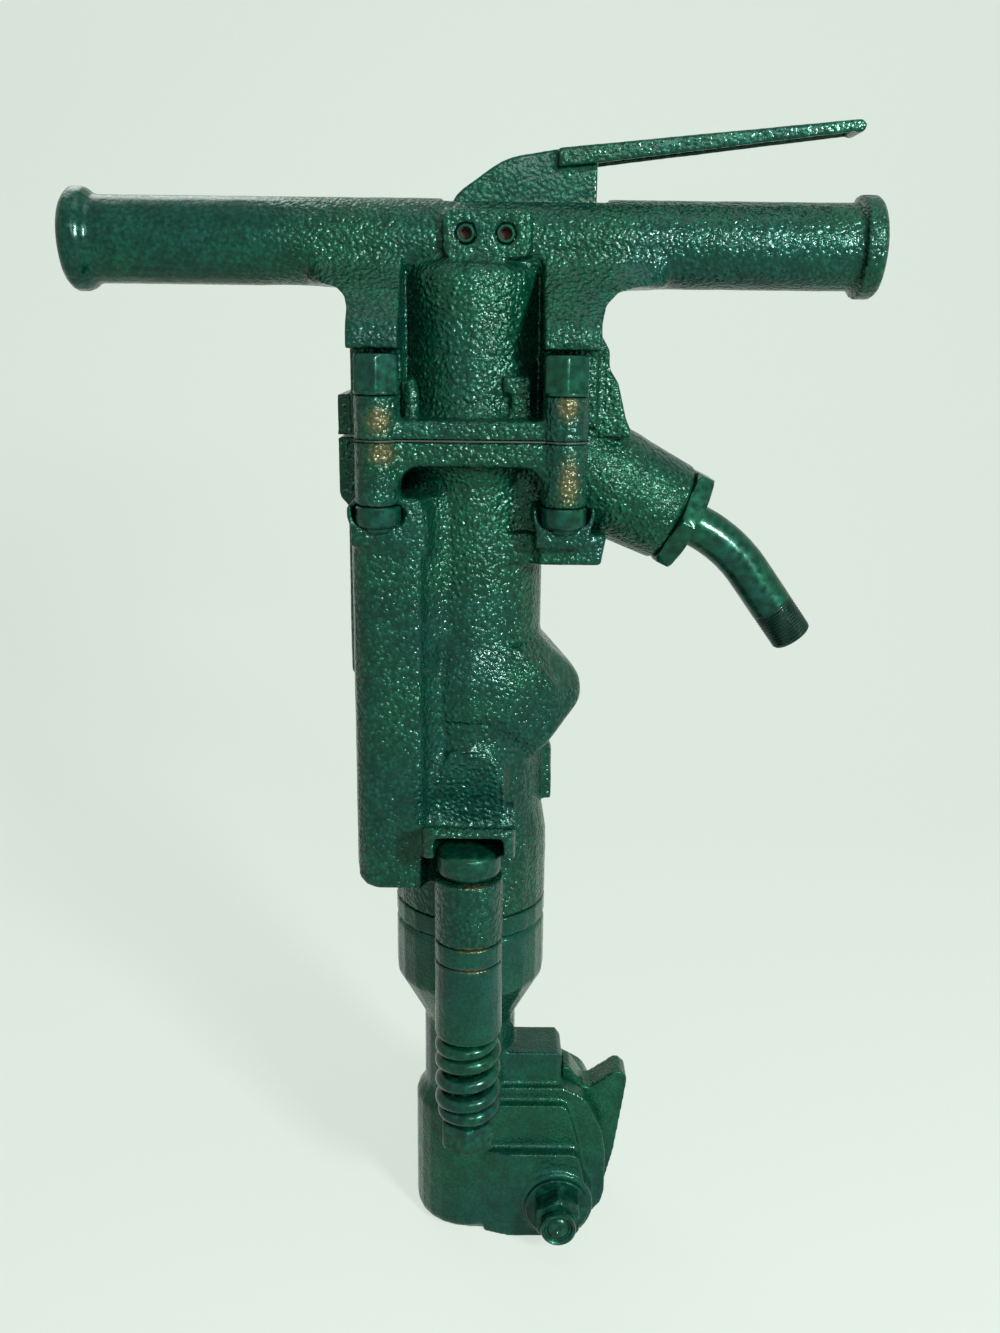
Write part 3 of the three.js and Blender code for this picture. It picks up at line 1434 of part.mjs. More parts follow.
function addInlet() {
  const nut = hexBar(inletNutAcrossFlats, seatGap, inletNutThickness, inletNutChamfer)
    .add(rod(inletNutSpigotRadius, -inletNutSpigot, inletNutThickness / 2))
    .subtract(rod(pipeHoleRadius, -inletNutSpigot - cutOverrun, inletNutThickness + cutOverrun))
    .subtract(rod(pipeCollarSeatRadius, -inletNutSpigot - cutOverrun, -inletNutLip));
  add('inlet_nut', nut, paint, inletFrame);
  add('inlet_pipe', inletPipe(), paintedSteel, inletFrame);
  const sealTop = -inletNutSpigot - 2 * seatGap;
  const sealBottom = -inletBoreDepth + seatGap;
  add('inlet_seal', tube(sealInnerRadius, inletNutSpigotRadius, sealBottom, sealTop, innerSegments),
    rubber, inletFrame);
  const screenTop = sealBottom - seatGap;
  const screenBottom = screenTop - strainerLength;
  add('inlet_strainer', turned([
    [0, screenBottom],
    [strainerTipRadius, screenBottom],
    [strainerRadius, screenTop],
    [strainerRadius - strainerWall, screenTop],
    [strainerTipRadius - strainerWall, screenBottom + strainerWall],
    [0, screenBottom + strainerWall],
  ], smallSegments), bronze, inletFrame);
}

function addBackheadBolts() {
  const bossTop = backheadFlangeTop + boltBossRise;
  const bossBottom = cylinderTop - cylinderFlangeThickness - boltBossDrop;
  const headBottom = bossTop + seatGap;
  const nutTop = bossBottom - seatGap;
  const nutBottom = nutTop - boltNutHeight;
  const bolt = rod(boltRadius, nutBottom - boltEndLength, headBottom + castGap, 0, 0, smallSegments)
    .add(rod(boltBossRadius - castGap, headBottom, headBottom + boltWasherHeight, 0, 0, smallSegments))
    .add(hexBar(boltHeadAcrossFlats, headBottom + boltWasherHeight, headBottom + boltHeadHeight,
      boltWasherHeight / 2));
  const nut = hexBar(boltHeadAcrossFlats, nutBottom, nutTop, boltWasherHeight / 2)
    .subtract(rod(boltRadius + seatGap, nutBottom - cutOverrun, nutTop + cutOverrun, 0, 0,
      smallSegments));
  boltPlaces.forEach(([x, y], index) => {
    add(`backhead_bolt_${index + 1}`, bolt, paintedSteel, breaker, [x, y, 0]);
    add(`backhead_nut_${index + 1}`, nut, paintedSteel, breaker, [x, y, 0]);
  });
}

function addSideRods() {
  const headBottom = cylinderBottom + cylinderSleeveHeight + seatGap;
  const headTopLevel = headBottom + rodHeadHeight;
  const springTop = headTop - headSleeveHeight - seatGap;
  const springBottom = springTop - rodSpringHeight;
  const nutTop = springBottom - seatGap;
  const nutBottom = nutTop - rodNutHeight;
  const sideRod = turned([
    [0, nutBottom - rodEndLength],
    [rodRadius, nutBottom - rodEndLength, hexChamfer],
    [rodRadius, headBottom],
    [rodHeadRadius, headBottom, rodHeadRound],
    [rodHeadRadius, headTopLevel, rodHeadEdge],
    [0, headTopLevel],
  ]);
  const nut = hexBar(rodNutAcrossFlats, nutBottom, nutTop, hexChamfer)
    .subtract(rod(rodRadius + seatGap, nutBottom - cutOverrun, nutTop + cutOverrun, 0, 0,
      smallSegments));
  const meanRadius = rodSleeveRadius - rodSpringWire / 2;
  sides.forEach(({ name, sign }) => {
    const y = sign * rodOffset;
    add(`side_rod_${name}`, sideRod, paint, breaker, [0, y, 0]);
    add(`side_rod_nut_${name}`, nut, paintedSteel, breaker, [0, y, 0]);
    addSpring(`side_rod_spring_${name}`, meanRadius, rodSpringWire, rodSpringTurns, rodSpringHeight,
      [0, y, springBottom]);
  });
}

add('front_head', frontHead(), paint);
add('tool_bush', toolBush(), bronze);
addLatch();
add('anvil_bush', anvilBush(), paint);
add('anvil', anvil(), steel);
add('piston', piston(), steel);
add('cylinder', cylinder(), paint);
addValve();
add('backhead_gasket', gasket(), fibre);
add('backhead', backhead(), paint);
addThrottle();
addInlet();
addBackheadBolts();
addSideRods();

export default breaker;
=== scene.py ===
"""Dresses the paving breaker: hammered castings, turned and threaded fittings, wound springs."""

import logging
import math
from collections.abc import Callable, Sequence
from dataclasses import dataclass
from enum import Enum
from functools import reduce

import bmesh
import bpy
import numpy as np
from mathutils import Matrix, Vector


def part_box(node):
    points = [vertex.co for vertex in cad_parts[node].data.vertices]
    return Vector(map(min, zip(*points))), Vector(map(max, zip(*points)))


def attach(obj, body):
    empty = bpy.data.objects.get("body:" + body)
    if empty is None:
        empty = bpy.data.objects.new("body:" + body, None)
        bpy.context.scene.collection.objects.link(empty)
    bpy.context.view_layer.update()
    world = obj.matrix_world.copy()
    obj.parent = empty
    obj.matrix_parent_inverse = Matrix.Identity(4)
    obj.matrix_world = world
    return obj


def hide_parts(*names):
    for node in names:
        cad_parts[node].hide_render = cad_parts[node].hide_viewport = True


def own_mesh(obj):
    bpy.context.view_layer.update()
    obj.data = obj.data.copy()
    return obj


LOG = logging.getLogger("breaker")
MM = 0.001
ROUND_SIDES = 64
HEX_SIDES = 96
PIPE_SIDES = 48
WIRE_SIDES = 20
ROUNDING_STEPS = 7
WEIGHT_STEPS = 8
PEBBLE_MELT = 0.6
Point = tuple[float, float, float]
Profile = Sequence[tuple[float, float]]
Piece = bpy.types.Object
Material = bpy.types.Material
Socket = bpy.types.NodeSocket
Inputs = dict[str | int, Socket | float | Sequence[float]]


class Slot(Enum):
    """The record's material slot names; the dressed pieces are handed them, but nothing reads them."""

    PAINT = "green_paint"
    PAINTED_STEEL = "green_steel"
    STEEL = "steel"
    PIN = "pin_steel"


class Body(Enum):
    """The frame's bodies that the dressed pieces ride on."""

    HEAD = "front_head"
    CYLINDER = "cylinder"
    LEVER = "throttle_lever"
    PIPE = "inlet_pipe"
    LATCH = "latch"


def mm(*sizes: float) -> tuple[float, ...]:
    """Returns millimetres as metres."""
    return tuple(size * MM for size in sizes)


def around(sides: int) -> list[float]:
    """Returns angles that are evenly spread round a circle."""
    return [2 * math.pi * side / sides for side in range(sides)]


def polar(radius: float, angle: float, height: float) -> Vector:
    """Returns the point at a radius and an angle round Z, and at a height."""
    return Vector((radius * math.cos(angle), radius * math.sin(angle), height))


def flat_at(across: float, angle: float) -> float:
    """Returns how far a hexagon of a width across flats reaches at an angle, with corners along Y."""
    sixth = math.pi / 3
    return across / 2 / math.cos((angle + sixth / 2) % sixth - sixth / 2)


# Node graphs


class Nodes:
    """A node tree with one way to add a node."""

    def __init__(self, tree: bpy.types.NodeTree) -> None:
        """Takes a tree up."""
        self.tree = tree

    def fill(self, node: bpy.types.Node, inputs: Inputs) -> bpy.types.Node:
        """Links or sets a node's inputs.

        Args:
            node: the node.
            inputs: a socket or a value for each input, by its name or number.

        Returns:
            The same node.
        """
        for key, value in inputs.items():
            if isinstance(value, Socket):
                self.tree.links.new(value, node.inputs[key])
            else:
                node.inputs[key].default_value = value
        return node

    def node(self, kind: str, inputs: Inputs, **settings: str) -> bpy.types.Node:
        """Adds a node.

        Args:
            kind: its type.
            inputs: what its inputs are linked or set to.
            settings: its own settings, made before its inputs are filled.

        Returns:
            The node.
        """
        made = self.tree.nodes.new(f"ShaderNode{kind}")
        for name, value in settings.items():
            setattr(made, name, value)
        return self.fill(made, inputs)

    def maths(self, operation: str, *values: Socket | float) -> Socket:
        """Adds a math node.

        Args:
            operation: what it does.
            values: a socket or a plain number for each of its inputs.

        Returns:
            The result.
        """
        return self.node("Math", dict(enumerate(values)), operation=operation).outputs["Value"]

    def largest(self, first: Socket, second: Socket) -> Socket:
        """Returns the larger of two values."""
        return self.maths("MAXIMUM", first, second)

    def seen(self) -> Socket:
        """Tells what is seen from what only gives light.

        Returns:
            1 for a camera, glossy or transmission ray, and 0 for all others.
        """
        path = self.node("LightPath", {}).outputs
        mirrored = self.largest(path["Is Glossy Ray"], path["Is Transmission Ray"])
        return self.largest(path["Is Camera Ray"], mirrored)


class Graph(Nodes):
    """A material's node tree with short calls for the nodes that the finishes share."""

    def __init__(self, name: str) -> None:
        """Starts a material whose surface is one Principled shader.

        Args:
            name: the material's name.
        """
        self.material = bpy.data.materials.new(name)
        self.material.use_nodes = True
        super().__init__(self.material.node_tree)
        self.tree.nodes.clear()
        self.shader = self.node("BsdfPrincipled", {})
        self.output = self.node("OutputMaterial", {"Surface": self.shader.outputs["BSDF"]})
        self.place = self.node("TexCoord", {}).outputs["Object"]

    def noise(self, grain: float, detail: float = 2.0, roughness: float = 0.5) -> Socket:
        """Fractal noise whose features are about one grain wide.

        Args:
            grain: width of a feature in metres.
            detail: octaves of finer noise.
            roughness: how strong each octave is beside the last.

        Returns:
            The noise value, from 0 to 1 round a half.
        """
        inputs = {"Vector": self.place, "Scale": 1 / grain, "Detail": detail, "Roughness": roughness}
        return self.node("TexNoise", inputs).outputs["Fac"]

    def cells(self, grain: float) -> Socket:
        """Rounded pebbles about one grain wide, melted together at their rims.

        Args:
            grain: width of a pebble in metres.

        Returns:
            The distance from the middle of a pebble, low in the middle.
        """
        inputs = {"Vector": self.place, "Scale": 1 / grain, "Smoothness": PEBBLE_MELT}
        return self.node("TexVoronoi", inputs, feature="SMOOTH_F1").outputs["Distance"]

    def product(self, first: Socket, second: Socket) -> Socket:
        """Multiplies two values and returns the product."""
        return self.maths("MULTIPLY", first, second)

    def ramp(self, value: Socket, low: float, high: float, to_low: float = 0.0,
             to_high: float = 1.0) -> Socket:
        """Maps a range of one value to a range of another, smoothly and held at both ends.

        Args:
            value: what is mapped.
            low: start of its range.
            high: end of its range.
            to_low: result at the start.
            to_high: result at the end.

        Returns:
            The mapped value.
        """
        inputs = {"Value": value, "From Min": low, "From Max": high, "To Min": to_low, "To Max": to_high}
        return self.node("MapRange", inputs, interpolation_type="SMOOTHSTEP").outputs["Result"]

    def mix(self, factor: Socket, first: Socket | Sequence[float],
            second: Socket | Sequence[float]) -> Socket:
        """Mixes two colours.

        Args:
            factor: 0 for the first colour, 1 for the second.
            first: a colour or a colour's socket.
            second: a colour or a colour's socket.

        Returns:
            The mixed colour.
        """
        first, second = (value if isinstance(value, Socket) else (*value, 1.0) for value in (first, second))
        return self.node("Mix", {"Factor": factor, 6: first, 7: second}, data_type="RGBA").outputs[2]

    def near(self, centre: Point, reach: Point) -> Socket:
        """A soft egg round a place on the object.

        Args:
            centre: the egg's centre in the frame.
            reach: how far from the centre it has faded out, along each axis.

        Returns:
            1 at the centre and 0 outside.
        """
        moved = self.node("VectorMath", {0: self.place, 1: centre}, operation="SUBTRACT")
        scaled = self.node("VectorMath", {0: moved.outputs["Vector"], 1: reach}, operation="DIVIDE")
        length = self.node("VectorMath", {0: scaled.outputs["Vector"]}, operation="LENGTH")
        return self.ramp(length.outputs["Value"], 0.0, 1.0, 1.0, 0.0)

    def bump(self, height: Socket, depth: float, under: Socket | None = None) -> Socket:
        """Raises the surface by a height value.

        Args:
            height: the value that is raised.
            depth: height in metres of a value of 1.
            under: the normal of a coarser bump below this one.

        Returns:
            The bumped normal.
        """
        inputs = {"Height": height, "Distance": depth}
        if under is not None:
            inputs["Normal"] = under
        return self.node("Bump", inputs).outputs["Normal"]


# Finishes


@dataclass(frozen=True)
class WornPatch:
    """A place where the enamel differs: rubbed down to its brassy primer, or left sleek."""

    centre: Point
    reach: Point


@dataclass(frozen=True)
class HammeredPaint:
    """Glossy green hammer enamel over a pebbled casting."""

    name: str
    green: Point = (0.005, 0.092, 0.047)
    teal: Point = (0.005, 0.074, 0.054)
    # Dark colour of the random blotches, and of the painted shade in the pebbles' hollows.
    dark_tone_and_shade: Point = (0.001, 0.020, 0.012)
    bare: Point = (0.120, 0.092, 0.034)
    pebble: float = 2.9 * MM
    pebble_depth: float = 1.15 * MM
    # Strength of the painted shade between pebbles and in the low spots of the fine grain.
    hollow_shade: float = 0.55
    wave: float = 24 * MM
    wave_depth: float = 0.9 * MM
    metallic: float = 0.4
    roughness: float = 0.27
    coat: float = 0.24
    coat_roughness: float = 0.12
    specular: float = 0.1
    patches: tuple[WornPatch, ...] = ()
    sleek: tuple[WornPatch, ...] = ()

    def material(self) -> Material:
        """Builds the material.

        Returns:
            The enamel, with its pebbles, waviness, painted shade in its hollows and worn patches.
        """
        graph = Graph(self.name)
        pebbles = graph.cells(self.pebble)
        fine = graph.noise(self.pebble * 0.75, 1.5)
        blotch = graph.noise(self.wave / 1.4, 4.0, 0.6)
        broad = graph.noise(self.wave * 2.6, 2.0)
        colour = graph.mix(graph.ramp(broad, 0.38, 0.62), self.green, self.teal)
        # Random broad blotches of darker enamel.
        colour = graph.mix(graph.ramp(blotch, 0.35, 0.7, 0.45, 0.0), colour, self.dark_tone_and_shade)
        # Painted shade: darker towards the low rims between pebbles, and where the fine noise that also
        # raises the surface is low.
        colour = graph.mix(graph.ramp(pebbles, 0.2, 0.7, 0.0, self.hollow_shade), colour, self.dark_tone_and_shade)
        colour = graph.mix(graph.ramp(fine, 0.3, 0.56, self.hollow_shade, 0.0), colour, self.dark_tone_and_shade)
        roughness = graph.ramp(fine, 0.3, 0.7, self.roughness - 0.08, self.roughness + 0.1)
        if self.patches:
            colour = graph.mix(self._worn(graph, blotch, fine), colour, self.bare)
        coarse = graph.bump(graph.noise(self.wave, 2.0), self.wave_depth)
        height = graph.maths("ADD", graph.ramp(pebbles, 0.0, 0.7, 0.6, 0.0), fine)
        patchy = graph.product(height, graph.ramp(broad, 0.34, 0.62, 1.0, 0.6))
        for spot in self.sleek:
            calm = graph.ramp(graph.near(spot.centre, spot.reach), 0.05, 0.45, 1.0, 0.12)
            patchy = graph.product(patchy, calm)
        normal = graph.bump(patchy, self.pebble_depth, coarse)
        graph.fill(graph.shader, {
            "Base Color": colour, "Roughness": roughness, "Metallic": self.metallic,
            "Coat Weight": self.coat, "Coat Roughness": self.coat_roughness,
            "Specular IOR Level": self.specular, "Normal": normal, "Coat Normal": normal,
        })
        return graph.material

    def _worn(self, graph: Graph, blotch: Socket, fine: Socket) -> Socket:
        """Finds where the enamel is rubbed through.

        Args:
            graph: the material's nodes.
            blotch: broad noise that breaks up the patches.
            fine: fine noise that frays their edges.

        Returns:
            0 on enamel, towards 1 on bare primer.
        """
        egg = reduce(graph.largest, [graph.near(patch.centre, patch.reach) for patch in self.patches])
        frayed = graph.maths("MULTIPLY_ADD", fine, 0.9, egg)
        frayed = graph.maths("MULTIPLY_ADD", blotch, 0.5, frayed)
        return graph.ramp(frayed, 0.8, 1.8, 0.0, 0.62)


@dataclass(frozen=True)
class FittingPaint(HammeredPaint):
    """The same enamel, almost smooth on turned and forged fittings."""

    pebble: float = 6 * MM
    pebble_depth: float = 0.14 * MM
    wave: float = 12 * MM
    wave_depth: float = 0.3 * MM
    roughness: float = 0.3


@dataclass(frozen=True)
class MachinedMetal:
    """Turned or ground metal with faint tool marks."""

    name: str
    colour: Point
    metallic: float = 1.0
    roughness: float = 0.35
    grain: float = 0.8 * MM
    depth: float = 0.03 * MM

    def material(self) -> Material:
        """Builds the material.

        Returns:
            The metal, with its colour and gloss broken up.
        """
        graph = Graph(self.name)
        fine = graph.noise(self.grain, 4.0)
        broad = graph.noise(self.grain * 14, 3.0)
        dull = tuple(channel * 0.55 for channel in self.colour)
        graph.fill(graph.shader, {
            "Base Color": graph.mix(graph.ramp(broad, 0.35, 0.7), dull, self.colour),
            "Roughness": graph.ramp(fine, 0.3, 0.7, self.roughness - 0.06, self.roughness + 0.12),
            "Metallic": self.metallic,
            "Normal": graph.bump(fine, self.depth),
        })
        return graph.material


@dataclass(frozen=True)
class StudioFinish:
    """A plain pale surface for the floor and the wall."""

    name: str
    colour: Point = (0.50, 0.56, 0.51)
    glow: Point = (0.88, 0.99, 0.89)
    roughness: float = 0.85
    lift: float = 0.7

    def material(self) -> Material:
        """Builds the material.

        Returns:
            A matt surface with a barely uneven tone, which stays pale in plain view.
        """
        graph = Graph(self.name)
        tone = tuple(channel * 0.97 for channel in self.colour)
        colour = graph.mix(graph.noise(0.6, 1.0), tone, self.colour)
        graph.fill(graph.shader, {"Base Color": colour, "Roughness": self.roughness})
        share = graph.ramp(graph.seen(), 0.0, 1.0, 0.0, self.lift)
        glow = graph.node("Emission", {"Color": (*self.glow, 1.0)}).outputs["Emission"]
        blend = graph.node("MixShader", {"Fac": share, 1: graph.shader.outputs["BSDF"], 2: glow})
        graph.fill(graph.output, {"Surface": blend.outputs["Shader"]})
        return graph.material


# Mesh forms


class Form:
    """A mesh in the making, to which closed shapes are added."""

    def __init__(self) -> None:
        """Starts an empty mesh."""
        self.mesh = bmesh.new()

    def _rows(self, rings: Sequence[Sequence[Vector]], joined: bool) -> list[list[bmesh.types.BMVert]]:
        """Skins a row of rings that close on themselves.

        Args:
            rings: rings of as many points each, in order.
            joined: whether the last ring is joined to the first.

        Returns:
            The rings' vertices.
        """
        rows = [[self.mesh.verts.new(point) for point in ring] for ring in rings]
        count = len(rows[0])
        for row, following in zip(rows, rows[1:] + rows[:1] if joined else rows[1:]):
            for i in range(count):
                j = (i + 1) % count
                self.mesh.faces.new((row[i], row[j], following[j], following[i]))
        return rows

    def grid(self, rings: Sequence[Sequence[Vector]]) -> None:
        """Skins a row of rings and caps both ends.

        Args:
            rings: rings of as many points each, in order.
        """
        rows = self._rows(rings, joined=False)
        self.mesh.faces.new(list(reversed(rows[0])))
        self.mesh.faces.new(rows[-1])

    def loop(self, rings: Sequence[Sequence[Vector]]) -> None:
        """Skins a row of rings, the last joined to the first."""
        self._rows(rings, joined=True)

    def turned(self, profile: Profile, place: Matrix = Matrix.Identity(4),
               sides: int = ROUND_SIDES) -> None:
        """Adds a solid of revolution about Z.

        Args:
            profile: (radius, height) pairs from the bottom to the top, none on the axis.
            place: where it stands.
            sides: points round it.
        """
        self.grid([[place @ polar(radius, a, height) for a in around(sides)] for radius, height in profile])

    def ring(self, profile: Profile, place: Matrix) -> None:
        """Adds a hollow solid of revolution whose profile closes on itself.

        Args:
            profile: (radius, height) pairs round the wall.
            place: where it stands.
        """
        self.loop([
            [place @ polar(radius, a, height) for radius, height in profile] for a in around(ROUND_SIDES)
        ])

    def prism(self, outline: Profile, bottom: float, top: float) -> None:
        """Adds a straight prism on an outline in the XY plane.

        Args:
            outline: (x, y) pairs, anticlockwise.
            bottom: its lower height.
            top: its upper height.
        """
        self.grid([[Vector((x, y, height)) for x, y in outline] for height in (bottom, top)])

    def across(self, outline: Profile, left: float, right: float) -> None:
        """Adds a straight prism along X on an outline in the YZ plane.

        Args:
            outline: (y, z) pairs in order round it.
            left: its lower X.
            right: its upper X.
        """
        self.grid([[Vector((x, y, z)) for y, z in outline] for x in (left, right)])

    def block(self, low: Point, high: Point) -> None:
        """Adds a block between two corners.

        Args:
            low: its lowest corner.
            high: its highest corner.
        """
        self.across(((low[1], low[2]), (high[1], low[2]), (high[1], high[2]), (low[1], high[2])),
                    low[0], high[0])

    def wire(self, path: Sequence[Vector], radius: Callable[[int], float]) -> None:
        """Adds a round bar along a path.

        Args:
            path: the centre line's points.
            radius: gives the radius at a point's number.
        """
        rings = []
        side_way = None
        for number, point in enumerate(path):
            before = path[max(number - 1, 0)]
            after = path[min(number + 1, len(path) - 1)]
            along = (after - before).normalized()
            if side_way is None:
                side_way = along.orthogonal().normalized()
            side_way = (side_way - along * side_way.dot(along)).normalized()
            other = along.cross(side_way)
            rings.append([
                point + (side_way * math.cos(a) + other * math.sin(a)) * radius(number)
                for a in around(WIRE_SIDES)
            ])
        self.grid(rings)

    def hexed(self, across: float, stations: Profile, place: Matrix) -> None:
        """Adds a hexagonal bar with two corners along Y, turned down where a station is narrow.

        Args:
            across: its width across the flats.
            stations: (share of the corners' radius, height) pairs from the bottom to the top.
            place: where it stands.
        """
        corner = across / math.sqrt(3)
        self.grid([
            [place @ polar(min(flat_at(across, a), corner * share), a, height) for a in around(HEX_SIDES)]
            for share, height in stations
        ])

    def threaded(self, radius: float, low: float, high: float, pitch: float, place: Matrix) -> None:
        """Adds a stud with a thread cut round it and a chamfer at its upper end.

        Args:
            radius: its outer radius.
            low: its lower height.
            high: its upper height.
            pitch: rise of the thread in a turn.
            place: where it stands.
        """
        rows = max(int((high - low) / pitch * 6), 2)
        rings = []
        for row in range(rows + 1):
            height = low + (high - low) * row / rows
            ring = []
            for a in around(PIPE_SIDES):
                phase = (height / pitch - a / (2 * math.pi)) % 1.0
                cut = abs(phase - 0.5) * pitch * 0.9
                rim = min(radius - cut, radius - pitch + (high - height))
                ring.append(place @ polar(rim, a, height))
            rings.append(ring)
        self.grid(rings)

    def solid(self, node: str) -> None:
        """Adds a copy of a node's own solid.

        Args:
            node: the node's name.
        """
        self.mesh.from_mesh(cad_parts[node].data)

    def finished(self, name: str) -> Piece:
        """Turns the form into an object.

        Args:
            name: the object's name.

        Returns:
            The new object, linked to the scene.
        """
        bmesh.ops.recalc_face_normals(self.mesh, faces=self.mesh.faces)
        data = bpy.data.meshes.new(name)
        self.mesh.to_mesh(data)
        self.mesh.free()
        return placed(name, data)


def placed(name: str, data: bpy.types.ID) -> Piece:
    """Makes an object and links it to the scene.

    Args:
        name: its name.
        data: its mesh, lamp or camera.

    Returns:
        The object.
    """
    made = bpy.data.objects.new(name, data)
    bpy.context.scene.collection.objects.link(made)
    return made


def baked(piece: Piece) -> None:
    """Applies a piece's modifiers to its mesh.

    Args:
        piece: the object, which keeps its name and place.
    """
    graph = bpy.context.evaluated_depsgraph_get()
    result = bpy.data.meshes.new_from_object(piece.evaluated_get(graph))
    piece.modifiers.clear()
    piece.data = result


@dataclass(frozen=True)
class Melt:
    """A stretch of a casting whose edges were ground and filled rounder than the rest."""

    low: Point
    high: Point
    rounds: int
    fade: float = 8 * MM

    def weights(self, points: np.ndarray) -> np.ndarray:
        """Says how far each point lies inside the stretch.

        Args:
            points: the skin's points.

        Returns:
            0 outside, 1 deeper inside than the fade.
        """
        depth = np.minimum(points - np.array(self.low), np.array(self.high) - points)
        return np.clip(depth.min(axis=1) / self.fade, 0.0, 1.0)


class Clay:
    """The points of a skin, pushed into shape."""

    def __init__(self, piece: Piece) -> None:
        """Takes the points up.

        Args:
            piece: the skin.
        """
        self.piece = piece
        flat = np.empty(len(piece.data.vertices) * 3)
        piece.data.vertices.foreach_get("co", flat)
        self.points = flat.reshape(-1, 3)

    def set_down(self) -> None:
        """Writes the points back to the skin."""
        self.piece.data.vertices.foreach_set("co", self.points.reshape(-1))
        self.piece.data.update()

    def shave(self, normal: Point, point: Point, low: Point, high: Point) -> None:
        """Flattens what stands beyond a plane, inside a box.

        Args:
            normal: the plane's outward direction.
            point: a point on it.
            low: the box's lowest corner.
            high: the box's highest corner.
        """
        way = np.array(Vector(normal).normalized())
        beyond = (self.points - np.array(point)) @ way
        inside = np.all((self.points > np.array(low)) & (self.points < np.array(high)), axis=1)
        chosen = inside & (beyond > 0)
        self.points[chosen] -= beyond[chosen, None] * way

    def tuck(self, amount: np.ndarray) -> None:
        """Moves each point towards the upright axis.

        Args:
            amount: how far, for each point.
        """
        radius = np.hypot(self.points[:, 0], self.points[:, 1])
        keep = 1.0 - amount / np.maximum(radius, MM)
        self.points[:, 0] *= keep
        self.points[:, 1] *= keep


def weighted(piece: Piece, name: str, weights: np.ndarray) -> str:
    """Gives a skin's points weights for a modifier.

    Args:
        piece: the skin.
        name: the group's name.
        weights: a weight from 0 to 1 for each point.

    Returns:
        The group's name.
    """
    group = piece.vertex_groups.new(name=name)
    levels = np.rint(weights * WEIGHT_STEPS).astype(int)
    for level in range(1, WEIGHT_STEPS + 1):
        chosen = np.nonzero(levels == level)[0]
        if len(chosen):
            group.add(chosen.tolist(), level / WEIGHT_STEPS, "REPLACE")
    return group.name


@dataclass(frozen=True)
class Recipe:
    """How one casting's skin is made from its solid.

    The voxel is the size of the skin's faces, and the rounds are passes of smoothing, which set how
    round the edges are. The crisp heights are machined faces, and within the edge's reach of them the
    skin is held down to its least share of smoothing. The sag and the wave are the depth and the width
    of the skin's slow waves.
    """

    node: str
    body: Body
    voxel: float = 1.1 * MM
    rounds: int = 7
    crisp: tuple[float, ...] = ()
    melts: tuple[Melt, ...] = ()
    fill: Callable[[Form], None] | None = None
    before: Callable[[Clay], None] | None = None
    after: Callable[[Clay], None] | None = None
    edge: float = 3.5 * MM
    least: float = 0.125
    sag: float = 0.4 * MM
    wave: float = 17 * MM


def cast(piece: Piece, recipe: Recipe) -> None:
    """Fuses a piece's shapes into one cast skin with rounded edges and filled corners.

    Args:
        piece: the object, made of closed shapes that may overlap.
        recipe: how it is made.
    """
    fuse = piece.modifiers.new("fuse", "REMESH")
    fuse.mode = "VOXEL"
    fuse.voxel_size = recipe.voxel
    baked(piece)
    clay = Clay(piece)
    if recipe.before is not None:
        recipe.before(clay)
        clay.set_down()
    away = np.full(len(clay.points), 1.0)
    for level in recipe.crisp:
        away = np.minimum(away, np.abs(clay.points[:, 2] - level) / recipe.edge)
    away = np.clip(away, recipe.least, 1.0)
    for number, melt in enumerate(recipe.melts):
        smooth(piece, weighted(piece, f"melt_{number}", melt.weights(clay.points) * away), melt.rounds)
    group = weighted(piece, "cast", away)
    smooth(piece, group, recipe.rounds)
    waves = bpy.data.textures.new(f"{piece.name}_waves", "CLOUDS")
    waves.noise_scale = recipe.wave
    sink = piece.modifiers.new("sink", "DISPLACE")
    sink.texture = waves
    sink.texture_coords = "GLOBAL"
    sink.strength = recipe.sag
    sink.mid_level = 1.0
    sink.vertex_group = group
    baked(piece)
    if recipe.after is not None:
        clay = Clay(piece)
        recipe.after(clay)
        clay.set_down()


def smooth(piece: Piece, group: str, rounds: int) -> None:
    """Adds passes of smoothing to a skin.

    Args:
        piece: the skin.
        group: the vertex group that says how much.
        rounds: the number of passes.
    """
    soften = piece.modifiers.new("soften", "SMOOTH")
    soften.factor = 0.5
    soften.iterations = rounds
    soften.vertex_group = group


def rounded(radius: float, low: float, high: float, foot: float,
            crown: float) -> list[tuple[float, float]]:
    """Makes the profile of a bar with rounded ends.

    Args:
        radius: its radius.
        low: its lower height.
        high: its upper height.
        foot: rounding of its lower edge.
        crown: rounding of its upper edge.

    Returns:
        (radius, height) pairs from the bottom to the top.
    """
    quarter = [math.pi / 2 * step / ROUNDING_STEPS for step in range(ROUNDING_STEPS + 1)]
    lower = [(radius - foot + foot * math.sin(a), low + foot - foot * math.cos(a)) for a in quarter]
    upper = [(radius - crown + crown * math.cos(a), high - crown + crown * math.sin(a)) for a in quarter]
    return lower + upper


def dressed(piece: Piece, finish: Material, body: Body, slot: Slot,
            *nodes: str, smooth: float = 40.0) -> Piece:
    """Gives a piece its finish and its body, and lets it stand for nodes.

    Args:
        piece: the object.
        finish: its material.
        body: the body it rides on.
        slot: the record's slot of its finish; not used.
        nodes: the nodes it stands for.
        smooth: the angle in degrees up to which edges are shaded smooth.

    Returns:
        The same object.
    """
    piece.data.materials.clear()
    piece.data.materials.append(finish)
    piece.data.shade_smooth()
    if smooth < 180:
        piece.data.set_sharp_from_angle(angle=math.radians(smooth))
    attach(piece, body.value)
    if nodes:
        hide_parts(*nodes)
    LOG.info("%s rides on %s", piece.name, body.value)
    return piece


